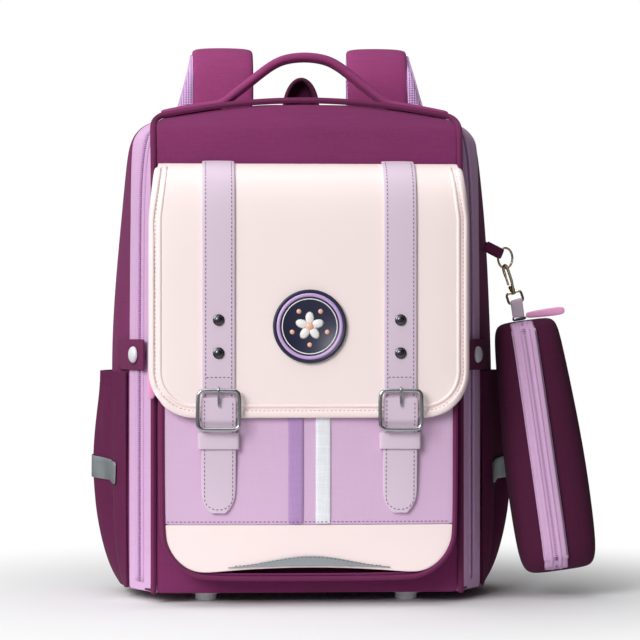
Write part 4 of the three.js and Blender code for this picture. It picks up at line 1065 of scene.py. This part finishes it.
def padded_pad(source: str, name: str, pressure: float = 4.0, cap: float = 5 * MM,
               shrink: float = 0.1 * MM, steps: int = 15) -> bpy.types.Object:
    """Puffs a frame node up as a filled cloth pad.

    Args:
        source: the frame node.
        name: the new piece's name.
        pressure: pressure of the filling.
        cap: how far a point may move backwards or forwards.
        shrink: how much smaller the pad starts.
        steps: frames that the cloth is given to fill.

    Returns:
        The pad, with the cloth applied.
    """
    obj = skin(source, name, 3, crease=0.3, swell=-shrink)
    start = [vertex.co.copy() for vertex in obj.data.vertices]
    cloth = obj.modifiers.new("puff", "CLOTH")
    cloth.settings.use_pressure = True
    cloth.settings.uniform_pressure_force = pressure
    cloth.settings.effector_weights.gravity = 0
    cloth.settings.quality = 4
    scene = bpy.context.scene
    for step in range(1, steps + 1):
        scene.frame_set(step)
    settle(obj)
    scene.frame_set(1)
    for vertex, place in zip(obj.data.vertices, start):
        swell = max(-cap, min(cap, vertex.co.y - place.y))
        vertex.co = place + BACK * swell
    return subdivided(obj, 1)


@dataclass
class FrontPocket:
    """The pocket under the flap, its trims and its zip pull."""

    seam_lift: float = 2.2 * MM
    seam_start: float = 3 * MM
    seam_step: float = 2 * MM
    wave_steps: int = 60
    wave_reach: float = 0.9
    wave_edge: float = 1.3 * MM
    wave_drop: float = 7.2 * MM
    zip_depth: float = 9 * MM
    zip_sweep: float = 150.0
    rays: int = 240
    coil: ZipRun = ZipRun(MAROON_BINDING, COIL_MAROON, lip_radius=1.0 * MM)
    slider_lift: float = 4.4 * MM
    pull_shift: float = 2.5 * MM
    gusset: Optional[bpy.types.Object] = None

    def build(self) -> None:
        """Builds the pocket's pieces."""
        self.gusset = cover("pocket_gusset", "pocket_gusset_cloth", MAROON, 3)
        face = cover("pocket_panel", "pocket_face_cloth", LILAC_PANEL, 3)
        base = cover("pocket_base", "pocket_base_leather", CREAM, 3)
        cover("pocket_piping", "pocket_piping_cloth", MAROON_BINDING, 3, swell=0.4 * MM)
        purple = cover("stripe_purple", "stripe_purple_ribbon", PURPLE_RIBBON)
        white = cover("stripe_white", "stripe_white_ribbon", WHITE_RIBBON)
        tape = cover("wave_tape", "wave_tape_band", REFLECTIVE)
        self.seams(Surface(face, purple, white), Surface(tape, base))
        self.zip()
        self.slider()

    def seams(self, face: Surface, foot: Surface) -> None:
        """Stitch rows above the base and along the wave."""
        low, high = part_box("pocket_panel")
        z = low.z + self.seam_lift
        count = int((high.x - low.x) / self.seam_step) - 2
        row = face.over((low.x + self.seam_start + i * self.seam_step, z) for i in range(count))
        Thread(THREAD_PURPLE).sew("pocket_seam_stitches", row)
        low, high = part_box("wave_tape")
        centre = (low.x + high.x) / 2
        half = (high.x - low.x) / 2
        wave = []
        for i in range(self.wave_steps + 1):
            s = -self.wave_reach + 2 * self.wave_reach * i / self.wave_steps
            drop = self.wave_drop * math.sin(s * math.pi / 2) ** 2
            wave.append((centre + s * half, high.z - self.wave_edge - drop))
        Thread(THREAD_GREY).sew("wave_stitches", foot.over(wave))

    def zip(self) -> None:
        """Coil zip round the pocket's gusset."""
        low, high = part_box("pocket_gusset")
        centre = Vector(((low.x + high.x) / 2, low.y + self.zip_depth, (low.z + high.z) / 2))
        spots = Surface(self.gusset).girdle(centre, -self.zip_sweep, self.zip_sweep, self.rays)
        self.coil.lay("pocket_zip", spots)

    def slider(self) -> None:
        """Zip slider and its rubber pull, set a little apart so that the pull swings free."""
        slider = skin("pocket_slider", "pocket_slider_metal", 2, crease=0.6)
        push(slider, lambda place: UP * self.slider_lift)
        pull = skin("pocket_pull", "pocket_pull_rubber", 2, angle=70, crease=0.3)
        push(pull, lambda place: RIGHT * -self.pull_shift)
        dress(slider, CHROME, replaces=["pocket_slider"])
        dress(pull, PINK_PULL, body=Body.PULL, replaces=["pocket_pull"])


# Radius of a rivet as a share of its own, and height in millimetres, from the axis round to the axis
RIVET_PROFILE = ((0, 0), (1, 0), (1.02, 0.5), (0.9, 1.0), (0.78, 0.9), (0.74, 1.5), (0.6, 2.1), (0.35, 2.5),
                 (0, 2.6))


@dataclass
class Flap:
    """The leather flap with its rim, sewn straps, rivets and badge."""

    radius: float = 36 * MM
    rim_width: float = 6.4 * MM
    rim_height: float = 2.0 * MM
    fold_depth: float = 55 * MM
    fold_drop: float = 3.6 * MM
    top_inset: float = 5 * MM
    top_gap: float = 8 * MM
    edge_steps: int = 24
    bottom_steps: int = 30
    bead_inset: float = 2.4 * MM
    stitch_inset: float = 2.6 * MM
    stitch_step: float = 2 * MM
    stitch_count: int = 98
    cross_drop: float = 19 * MM
    leaf: Optional[bpy.types.Object] = None
    box: tuple = field(default_factory=lambda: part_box("flap"))

    def build(self) -> None:
        """Builds the flap's pieces."""
        self.leaf = dress(skin("flap", "flap_leather", 3, crease=0.5), CREAM, replaces=["flap"])
        push(self.leaf, self.sag)
        surface = Surface(self.leaf)
        self.rim(surface)
        self.straps()
        self.rivets()
        self.badge(surface)

    def sag(self, place: Vector) -> Vector:
        """Lets the flap's fold settle a little below its seam line."""
        share = clamped((place.z - self.box[1].z + self.fold_depth) / self.fold_depth)
        return UP * (-self.fold_drop * share)

    def outline(self, inset: float, steps: int = 12) -> list[tuple[float, float]]:
        """Path of x and z along the flap's edge, from the upper left round to the upper right.

        Args:
            inset: how far the path lies inside the edge.
            steps: steps of each rounded corner.

        Returns:
            The path's points.
        """
        low, high = self.box
        centre = (low.x + high.x) / 2
        half = (high.x - low.x) / 2 - inset
        top_half = half - self.top_inset
        top = high.z - self.top_gap
        radius = self.radius - inset
        bottom = low.z + inset
        path = []
        for i in range(self.edge_steps + 1):
            share = i / self.edge_steps
            z = top + (bottom + radius - top) * share
            path.append((-(top_half + (half - top_half) * min(1.0, 4 * share)), z))
        for i in range(1, steps + 1):
            angle = math.pi + (math.pi / 2) * i / steps
            path.append((-half + radius + radius * math.cos(angle),
                         bottom + radius + radius * math.sin(angle)))
        mirror = [(-x, z) for x, z in reversed(path)]
        bridge = [(-half + radius + (half - radius) * 2 * i / self.bottom_steps, bottom)
                  for i in range(1, self.bottom_steps)]
        return [(centre + x, z) for x, z in path + bridge + mirror]

    def rim(self, surface: Surface) -> None:
        """Raised binding along the edge with its stitch row, and a bead inside it."""
        half = self.rim_width / 2
        height = self.rim_height
        band = [(-half, -0.5 * MM), (half, -0.5 * MM), (half, 0.35 * height), (0.7 * half, height),
                (0, 1.1 * height), (-0.7 * half, height), (-half, 0.35 * height)]
        spots = surface.over(self.outline(half - 0.6 * MM))
        rim = subdivided(strip("flap_rim", spots, band), 1)
        dress(rim, CREAM)
        inner = surface.over(self.outline(self.rim_width + self.bead_inset))
        dress(strip("flap_bead", inner, oval(1.5 * MM, 1.0 * MM, 8)), CREAM)
        row = Surface(rim, self.leaf).over(self.outline(self.rim_width - 1.2 * MM))
        Thread(THREAD_CREAM).sew("flap_rim_stitches", row)

    def straps(self) -> None:
        """Leather straps sewn down the flap, with their edge stitches."""
        for _, word in SIDES:
            name = f"flap_strap_{word}"
            strap = dress(skin(name, f"{name}_leather", 3, crease=0.5), LILAC_LEATHER, replaces=[name])
            push(strap, self.sag)
            low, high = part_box(name)
            surface = Surface(strap)
            runs = []
            for x in (low.x + self.stitch_inset, high.x - self.stitch_inset):
                runs.append(surface.over((x, high.z - 6 * MM - i * self.stitch_step)
                                         for i in range(self.stitch_count)))
            cross = middle(f"rivet_lower_{word}").z - self.cross_drop
            runs.append(surface.over((low.x + 4 * MM + i * self.stitch_step, cross) for i in range(10)))
            Thread(THREAD_PURPLE).sew(f"{name}_stitches", *runs)

    @staticmethod
    def rivets() -> None:
        """Domed rivets in a washer ring."""
        for row in ("upper", "lower"):
            for _, word in SIDES:
                name = f"rivet_{row}_{word}"
                low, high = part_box(name)
                radius = (high.x - low.x) / 2
                profile = [(radius * share, height * MM) for share, height in RIVET_PROFILE]
                dress(turned(f"{name}_metal", profile, rear(name), FRONT, 28), GUNMETAL, replaces=[name])

    @staticmethod
    def badge(surface: Surface) -> None:
        """Round badge: a navy disc in a lilac ring, with a white star flower and peach dots."""
        low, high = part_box("badge")
        radius = (high.x - low.x) / 2
        place = rear("badge")
        disc = [(0, 0), (radius - 0.4 * MM, 0), (radius, 0.8 * MM), (radius, 1.8 * MM),
                (radius - 0.6 * MM, 2.3 * MM), (radius - 2.2 * MM, 2.3 * MM), (radius - 2.6 * MM, 1.9 * MM),
                (0, 1.9 * MM)]
        dress(turned("badge_disc", disc, place, FRONT, 56), NAVY, replaces=["badge"])
        for name, outer, inner, top, finish in (("badge_ring", 2.9, 5.6, 2.5, BADGE_LILAC),
                                                ("badge_line", 7.0, 7.8, 2.3, BADGE_WHITE)):
            wide, narrow = radius - outer * MM, radius - inner * MM
            ring = [(wide, 1.8 * MM), (wide, top * MM), (narrow, top * MM), (narrow, 1.8 * MM),
                    (wide, 1.8 * MM)]
            dress(turned(name, ring, place, FRONT, 56), finish)
        face = place + FRONT * 1.9 * MM
        petals, dots = [], []
        for i in range(5):
            angle = math.pi / 2 + 2 * math.pi * i / 5
            out = Vector((math.cos(angle), 0, math.sin(angle)))
            petals.append((face + out * 6.4 * MM, FRONT, out))
            turn = angle + math.pi / 5
            other = Vector((math.cos(turn), 0, math.sin(turn)))
            dots.append((face + other * 14.5 * MM, FRONT, other))
        dress(beads("badge_petals", petals, (5.2 * MM, 3.5 * MM, 0.9 * MM), 0.1 * MM, 16), BADGE_WHITE)
        dress(beads("badge_dots", dots, (2.0 * MM, 2.0 * MM, 0.8 * MM), 0.1 * MM, 12), BADGE_PEACH)
        heart = beads("badge_heart", [(face, FRONT, RIGHT)], (3.4 * MM, 3.4 * MM, 1.5 * MM), 0.2 * MM, 16)
        dress(heart, BADGE_PEACH)


@dataclass
class Fastening:
    """Tongues, keepers, buckles and prongs under the flap's straps."""

    inset: float = 2.6 * MM
    tip_rise: float = 9 * MM
    step: float = 2 * MM
    tip_steps: int = 12
    bar_inset: float = 1.6 * MM
    wrap_radius: float = 2.5 * MM
    wrap_start: float = -60.0
    wrap_sweep: float = 230.0
    wrap_steps: int = 8
    prong_radius: float = 1.15 * MM

    def build(self) -> None:
        """Builds both fastenings."""
        for _, word in SIDES:
            self.tongue(word)
            self.keeper(word)
            self.buckle(word)

    def tongue(self, word: str) -> None:
        """Leather tongue with stitches along its edges and round its tip."""
        name = f"tongue_{word}"
        leather = cover(name, f"{name}_leather", LILAC_LEATHER, 3, crease=0.5)
        low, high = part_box(name)
        surface = Surface(leather)
        centre = (low.x + high.x) / 2
        half = (high.x - low.x) / 2 - self.inset
        tip = low.z + self.inset
        rise = self.tip_rise
        count = int((high.z - tip - rise) / self.step)
        side = [(centre - half, high.z - 3 * MM - i * self.step) for i in range(count)]
        path = list(side)
        for i in range(self.tip_steps + 1):
            angle = math.pi + math.pi * i / self.tip_steps
            path.append((centre + half * math.cos(angle), tip + rise + rise * math.sin(angle)))
        path += [(2 * centre - x, z) for x, z in reversed(side)]
        Thread(THREAD_PURPLE).sew(f"{name}_stitches", surface.over(path))

    @staticmethod
    def keeper(word: str) -> None:
        """Leather loop that holds the tongue's end."""
        cover(f"keeper_{word}", f"keeper_{word}_leather", LILAC_LEATHER, 3, crease=0.4)

    def buckle(self, word: str) -> None:
        """Chrome frame, and a prong that wraps its top bar."""
        name = f"buckle_{word}"
        cover(name, f"{name}_frame", CHROME, 2, angle=80, crease=0.0, swell=0.35 * MM)
        low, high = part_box(f"prong_{word}")
        frame_low, frame_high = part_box(name)
        x = (low.x + high.x) / 2
        bar = Vector((x, (frame_low.y + frame_high.y) / 2, frame_high.z - self.bar_inset))
        path = []
        for i in range(self.wrap_steps + 1):
            angle = math.radians(self.wrap_start + self.wrap_sweep * i / self.wrap_steps)
            path.append(bar + Vector((0, math.cos(angle), math.sin(angle))) * self.wrap_radius)
        path += [Vector((x, low.y + 0.4 * MM, high.z - 3 * MM)),
                 Vector((x, low.y + 0.6 * MM, low.z - 1 * MM))]
        prong = subdivided(tube(f"prong_{word}_pin", path, self.prong_radius, sides=8), 1)
        dress(prong, CHROME, replaces=[f"prong_{word}"])


@dataclass
class Carrying:
    """Top handle, hang loop, shoulder straps and their adjusters.

    The mesh beside a strap's foot is mesh_wide broad at its low end, narrows to mesh_narrow over
    mesh_run, and leans back from the share mesh_bend of its height.
    """

    crest: float = 26 * MM
    facing: float = 0.12
    strap_width: float = 52 * MM
    mesh_setback: float = 7 * MM
    mesh_narrow: float = 2.5 * MM
    mesh_wide: float = 13.5 * MM
    mesh_taper: float = 1.3
    mesh_drop: float = 63 * MM
    mesh_run: float = 54 * MM
    mesh_lean: float = 22 * MM
    mesh_bend: float = 0.45
    mesh_thick: float = 3.2 * MM
    mesh_overlap: float = 1.5 * MM
    mesh_steps: int = 10
    lining_inset: float = 1.5 * MM
    lining_gap: float = 2.5 * MM
    lining_depth: tuple[float, float] = (9 * MM, 6 * MM)
    lining_steps: int = 18

    def build(self) -> None:
        """Builds what the bag is carried by."""
        handle = skin("top_handle", "top_handle_cloth", 3, crease=0.2, swell=0.6 * MM)
        # The handle wears the lighter maroon copy: painted light.
        dress(handle, MAROON_STRAP_LIT, replaces=["top_handle"])
        cover("hang_loop", "hang_loop_webbing", WEBBING, 3, swell=1.0 * MM)
        self.loop_lining()
        for sign, word in SIDES:
            self.strap(word)
            self.flare(sign, word)
            cover(f"adjuster_{word}", f"adjuster_{word}_frame", BLACK_PLASTIC)
            cover(f"strap_web_{word}", f"strap_web_{word}_band", WEBBING)

    def strap(self, word: str) -> None:
        """Padded strap: cloth outside, air mesh on the side that faces the wearer."""
        name = f"strap_{word}"
        strap = skin(name, f"{name}_pad", 3, crease=0.15)
        # The outside wears the lighter maroon copy: painted light.
        dress(strap, MAROON_STRAP_LIT, AIR_MESH, replaces=[name])
        low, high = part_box(name)
        axis_y = (low.y + high.y) / 2 - 4 * MM
        for face in strap.data.polygons:
            place = face.center
            core = Vector((place.x, axis_y, min(place.z, high.z - self.crest)))
            inward = core - place
            inward.x = 0
            if face.normal.dot(inward.normalized()) > self.facing:
                face.material_index = 1

    def loop_lining(self) -> None:
        """Folded cloth that closes the hang loop at its rear."""
        low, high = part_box("hang_loop")
        half = (high.x - low.x) / 2 - self.lining_inset
        rise = high.z - low.z - self.lining_gap
        centre = (low.x + high.x) / 2
        turns = [math.pi * i / self.lining_steps for i in range(self.lining_steps + 1)]
        rings = [[Vector((centre + half * math.cos(turn), high.y - depth, low.z + rise * math.sin(turn)))
                  for turn in turns] for depth in self.lining_depth]
        dress(sweep("hang_loop_lining", rings), WEBBING)

    def flare(self, sign: int, word: str) -> None:
        """Air mesh of the strap that spreads out beside its foot, with a bound edge."""
        low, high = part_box(f"strap_{word}")
        inner = high.x if sign < 0 else low.x
        edge = inner + sign * self.strap_width
        y = low.y + self.mesh_setback
        rings, rim = [], []
        for i in range(self.mesh_steps + 1):
            share = i / self.mesh_steps
            wide = self.mesh_narrow + self.mesh_wide * (1 - share) ** self.mesh_taper
            z = high.z - self.mesh_drop + self.mesh_run * share
            lean = self.mesh_lean * max(0.0, (share - self.mesh_bend) / (1 - self.mesh_bend)) ** 2
            centre = Vector((edge + sign * (wide / 2 - self.mesh_overlap), y + lean, z))
            rings.append(ring_of(centre, RIGHT, BACK, oval(wide / 2, self.mesh_thick, 14, 0.8)))
            rim.append(centre + Vector((sign * wide / 2, 0, 0)))
        dress(sweep(f"strap_{word}_mesh", rings), AIR_MESH)
        dress(tube(f"strap_{word}_edge", rim, 1.3 * MM), LILAC_LIP)


@dataclass
class SidePockets:
    """Side pockets with their tapes, and the snap tabs over the zip.

    Folds are waves over a place's distance to the back, in millimetres, and its height, as a share
    of the pocket's.
    """

    height: float = 180 * MM
    gather: float = 2.2 * MM
    crease: float = -5.0 * MM
    long_fold: float = 3.0 * MM
    front_edge: float = -34.0
    back_edge: float = 52.0
    edge_fade: float = 14.0

    def build(self) -> None:
        """Builds both sides."""
        for sign, word in SIDES:
            self.pocket(sign, word)
            tape = skin(f"pocket_tape_{word}", f"pocket_tape_{word}_band", 2)
            push(tape, lambda p, s=sign: self.fold(p, s))
            dress(tape, REFLECTIVE, replaces=[f"pocket_tape_{word}"])
            cover(f"snap_tab_{word}", f"snap_tab_{word}_cloth", MAROON_BINDING, 3)
            cover(f"snap_{word}", f"snap_{word}_cap", SNAP_WHITE, 2, crease=0.4)

    def fold(self, place: Vector, sign: int) -> Vector:
        """Long upright folds that gather at the elastic.

        Args:
            place: a point of the pocket's wall.
            sign: -1 for the left pocket and 1 for the right one.

        Returns:
            The point's move.
        """
        z = place.z / self.height
        y = place.y / MM
        gather = self.gather * math.sin(y * 0.42 + 0.8 * math.sin(z * 5)) * clamped((z - 0.45) / 0.5)
        crease = self.crease * bump_at(y, -16 + 10 * z, 5.0) * bump_at(z, 0.42, 0.3)
        long_fold = self.long_fold * math.sin(y * 0.16 + 2.5 * z) * math.sin(math.pi * clamped(z))
        front = clamped((y - self.front_edge) / self.edge_fade)
        back = clamped((self.back_edge - y) / self.edge_fade)
        return RIGHT * (sign * (gather + crease + long_fold) * front * back)

    def pocket(self, sign: int, word: str) -> None:
        """Bellied cloth pocket with a gathered hem."""
        name = f"side_pocket_{word}"
        cloth = skin(name, f"{name}_cloth", 4)
        push(cloth, lambda p: self.fold(p, sign))
        # The pocket wears the darker maroon copy: painted shade.
        dress(cloth, MAROON_SHADED, replaces=[name])


@dataclass
class Feet:
    """Four moulded feet."""

    sole_radius: float = 7.6 * MM
    post_radius: float = 8.6 * MM
    bevel: float = 0.35 * MM

    def build(self) -> None:
        """Builds the feet."""
        for end in ("front", "rear"):
            for _, word in SIDES:
                name = f"foot_{end}_{word}"
                low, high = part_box(name)
                place = Vector(((low.x + high.x) / 2, (low.y + high.y) / 2, low.z))
                flange = (high.x - low.x) / 2
                top = high.z - low.z
                profile = [(0, 0), (self.sole_radius, 0), (self.post_radius, 1 * MM),
                           (self.post_radius, top - 2 * MM), (flange, top - 1.8 * MM), (flange, top),
                           (0, top)]
                cap = turned(f"{name}_cap", profile, place, UP, 36, self.bevel)
                dress(cap, FOOT_GREY, replaces=[name])


@dataclass
class PencilCase:
    """The pencil case on its ring, hook and leather tab."""

    drop: float = 30.4 * MM
    reach: Vector = field(default_factory=lambda: Vector((8, -8, -27)).normalized())
    tilt: float = 7.7
    lean: float = 3.0
    zip_side: float = -0.5 * MM
    zip_start: float = 17.5 * MM
    zip_run: float = 202 * MM
    zip_steps: int = 89
    tape_half: float = 9.6 * MM
    tape_thick: float = 0.7 * MM
    coil: ZipRun = ZipRun(LILAC_LIP, COIL_PURPLE, half_gap=2.3 * MM, lip_radius=1.3 * MM)

    def frame(self) -> Matrix:
        """Matrix of the case's own frame, with its origin at the hook's lower bar."""
        swing = next(joint for joint in frame["joints"] if joint["name"] == "case_swing")
        eye = Vector(swing["pos_m"]) + self.reach * self.drop
        lean = Matrix.Rotation(math.radians(-self.lean), 4, "X")
        tilt = Matrix.Rotation(math.radians(-self.tilt), 4, "Y")
        return Matrix.Translation(eye) @ lean @ tilt

    def build(self) -> None:
        """Builds the case and what it hangs on."""
        cover("dee_ring", "dee_ring_wire", PALE_GOLD, 2, angle=80, crease=0.0)
        cover("ring_tab", "ring_tab_cloth", MAROON_BINDING)
        cover("case_tab", "case_tab_leather", LILAC_LEATHER, 2, Body.CASE)
        body = cover("case_body", "case_cloth", CASE_CLOTH, 2, Body.CASE, crease=0.9)
        band = cover("case_zip_band", "case_zip_tape", LILAC_TAPE, 2, Body.CASE)
        paint(frame["nodes"]["snap_hook"], PALE_GOLD)
        paint(frame["nodes"]["hook_gate"], PALE_GOLD)
        cover("case_slider", "case_slider_metal", CHROME, 2, Body.CASE, crease=0.6)
        cover("case_pull", "case_pull_rubber", PINK_PULL, 2, Body.CASE, angle=70, crease=0.3)
        self.zip(Surface(body, band))

    def zip(self, surface: Surface) -> None:
        """Tape and coil zip down the front of the case."""
        place = self.frame()
        spots = []
        toward = (place.to_3x3() @ BACK).normalized()
        for i in range(self.zip_steps + 1):
            at = place @ Vector((self.zip_side, -0.2, -(self.zip_start + self.zip_run * i / self.zip_steps)))
            spots.append(surface.hit(at, toward))
        spots = [spot for spot in spots if spot]
        even = [(point, normal) for point, normal, _ in evenly(spots, 5 * MM)]
        tape = strip("case_tape", even, oval(self.tape_half, self.tape_thick, 10), 0.2 * MM)
        dress(tape, LILAC_TAPE, body=Body.CASE)
        self.coil.lay("case_zip", spots, body=Body.CASE)


@dataclass
class Studio:
    """Pale floor, soft lights and the camera."""

    eye: Vector = field(default_factory=lambda: Vector((-0.1224, -2.0787, 0.226)))
    target: Vector = field(default_factory=lambda: Vector((-0.0214, -0.0787, 0.226)))
    focal_pixels: float = 2500.0
    image_pixels: float = 640.0
    sensor: float = 36.0
    key_place: Vector = field(default_factory=lambda: Vector((-1.4, -2.0, 1.3)))
    key_size: float = 1.3
    key_power: float = 50.0
    top_place: Vector = field(default_factory=lambda: Vector((-0.2, -0.2, 1.9)))
    top_size: float = 1.2
    top_power: float = 9.0

    def build(self) -> None:
        """Sets up floor, world, lights and camera."""
        self.floor()
        self.world()
        self.lamp("key softbox", self.key_place, self.key_size, self.key_power)
        self.lamp("top softbox", self.top_place, self.top_size, self.top_power)
        self.camera()
        bpy.context.scene.view_settings.view_transform = "Standard"

    @staticmethod
    def floor() -> None:
        """A wide pale floor."""
        bm = bmesh.new()
        bmesh.ops.create_grid(bm, x_segments=1, y_segments=1, size=30.0)
        floor = piece(bm, "floor", smooth=False)
        material, tree, shader, place = blank("floor paint")
        faint = MOTTLE.place(tree, Place=place, Color=(0.93, 0.93, 0.94, 1.0), Amount=0.01, Scale=2.0)
        tree.links.new(faint["Color"], shader.inputs["Base Color"])
        shader.inputs["Roughness"].default_value = 0.9
        reach = node(tree, "ShaderNodeVectorMath", {0: place}, operation="LENGTH").outputs["Value"]
        far = node(tree, "ShaderNodeMapRange", {0: reach, 1: 0.16, 2: 0.52},
                   interpolation_type="SMOOTHSTEP").outputs[0]
        seen = node(tree, "ShaderNodeLightPath").outputs["Is Camera Ray"]
        glow = math_node(tree, "MULTIPLY_ADD", seen, 0.75, 0.25)
        white = node(tree, "ShaderNodeEmission", {"Color": (1, 1, 1, 1), "Strength": glow}).outputs[0]
        mixed = node(tree, "ShaderNodeMixShader", {0: far, 1: shader.outputs[0], 2: white}).outputs[0]
        tree.links.new(mixed, tree.nodes["Material Output"].inputs["Surface"])
        floor.data.materials.append(material)

    @staticmethod
    def world() -> None:
        """White surroundings that light the bag more from its left."""
        world = bpy.data.worlds.new("studio")
        bpy.context.scene.world = world
        world.use_nodes = True
        tree = world.node_tree
        background = tree.nodes["Background"]
        toward = node(tree, "ShaderNodeTexCoord").outputs["Generated"]
        axes = node(tree, "ShaderNodeSeparateXYZ", {0: toward}).outputs
        side = node(tree, "ShaderNodeMapRange", {0: axes[0], 1: -0.75, 2: 0.7, 3: 0.62, 4: 0.03},
                    interpolation_type="SMOOTHSTEP").outputs[0]
        seen = node(tree, "ShaderNodeLightPath").outputs["Is Camera Ray"]
        strength = node(tree, "ShaderNodeMix", {0: seen, 2: side, 3: 1.0}, data_type="FLOAT").outputs[0]
        background.inputs["Color"].default_value = (1, 1, 1, 1)
        tree.links.new(strength, background.inputs["Strength"])

    @staticmethod
    def lamp(name: str, place: Vector, size: float, power: float) -> None:
        """A square softbox that looks at the bag.

        Args:
            name: the light's name.
            place: where it hangs.
            size: length of its side in metres.
            power: its power in watts.
        """
        light = bpy.data.lights.new(name, "AREA")
        light.size = size
        light.energy = power
        obj = bpy.data.objects.new(name, light)
        obj.location = place
        obj.rotation_euler = (Vector((0, 0, 0.2)) - place).to_track_quat("-Z", "Y").to_euler()
        bpy.context.scene.collection.objects.link(obj)

    def camera(self) -> None:
        """The camera at the photograph's viewing angle."""
        lens = bpy.data.cameras.new("camera")
        lens.sensor_width = self.sensor
        lens.lens = self.sensor * self.focal_pixels / self.image_pixels
        lens.clip_end = 100.0
        obj = bpy.data.objects.new("camera", lens)
        obj.location = self.eye
        obj.rotation_euler = (self.target - self.eye).to_track_quat("-Z", "Y").to_euler()
        bpy.context.scene.collection.objects.link(obj)
        bpy.context.scene.camera = obj


def main() -> None:
    """Builds each sub-assembly in order and reports it."""
    logging.basicConfig(level=logging.INFO, format="%(message)s")
    for part in (Shell(), FrontPocket(), Flap(), Fastening(), Carrying(), SidePockets(), Feet(), PencilCase(),
                 Studio()):
        part.build()
        LOG.info("built %s", type(part).__name__)


if __name__ == "__main__":
    main()
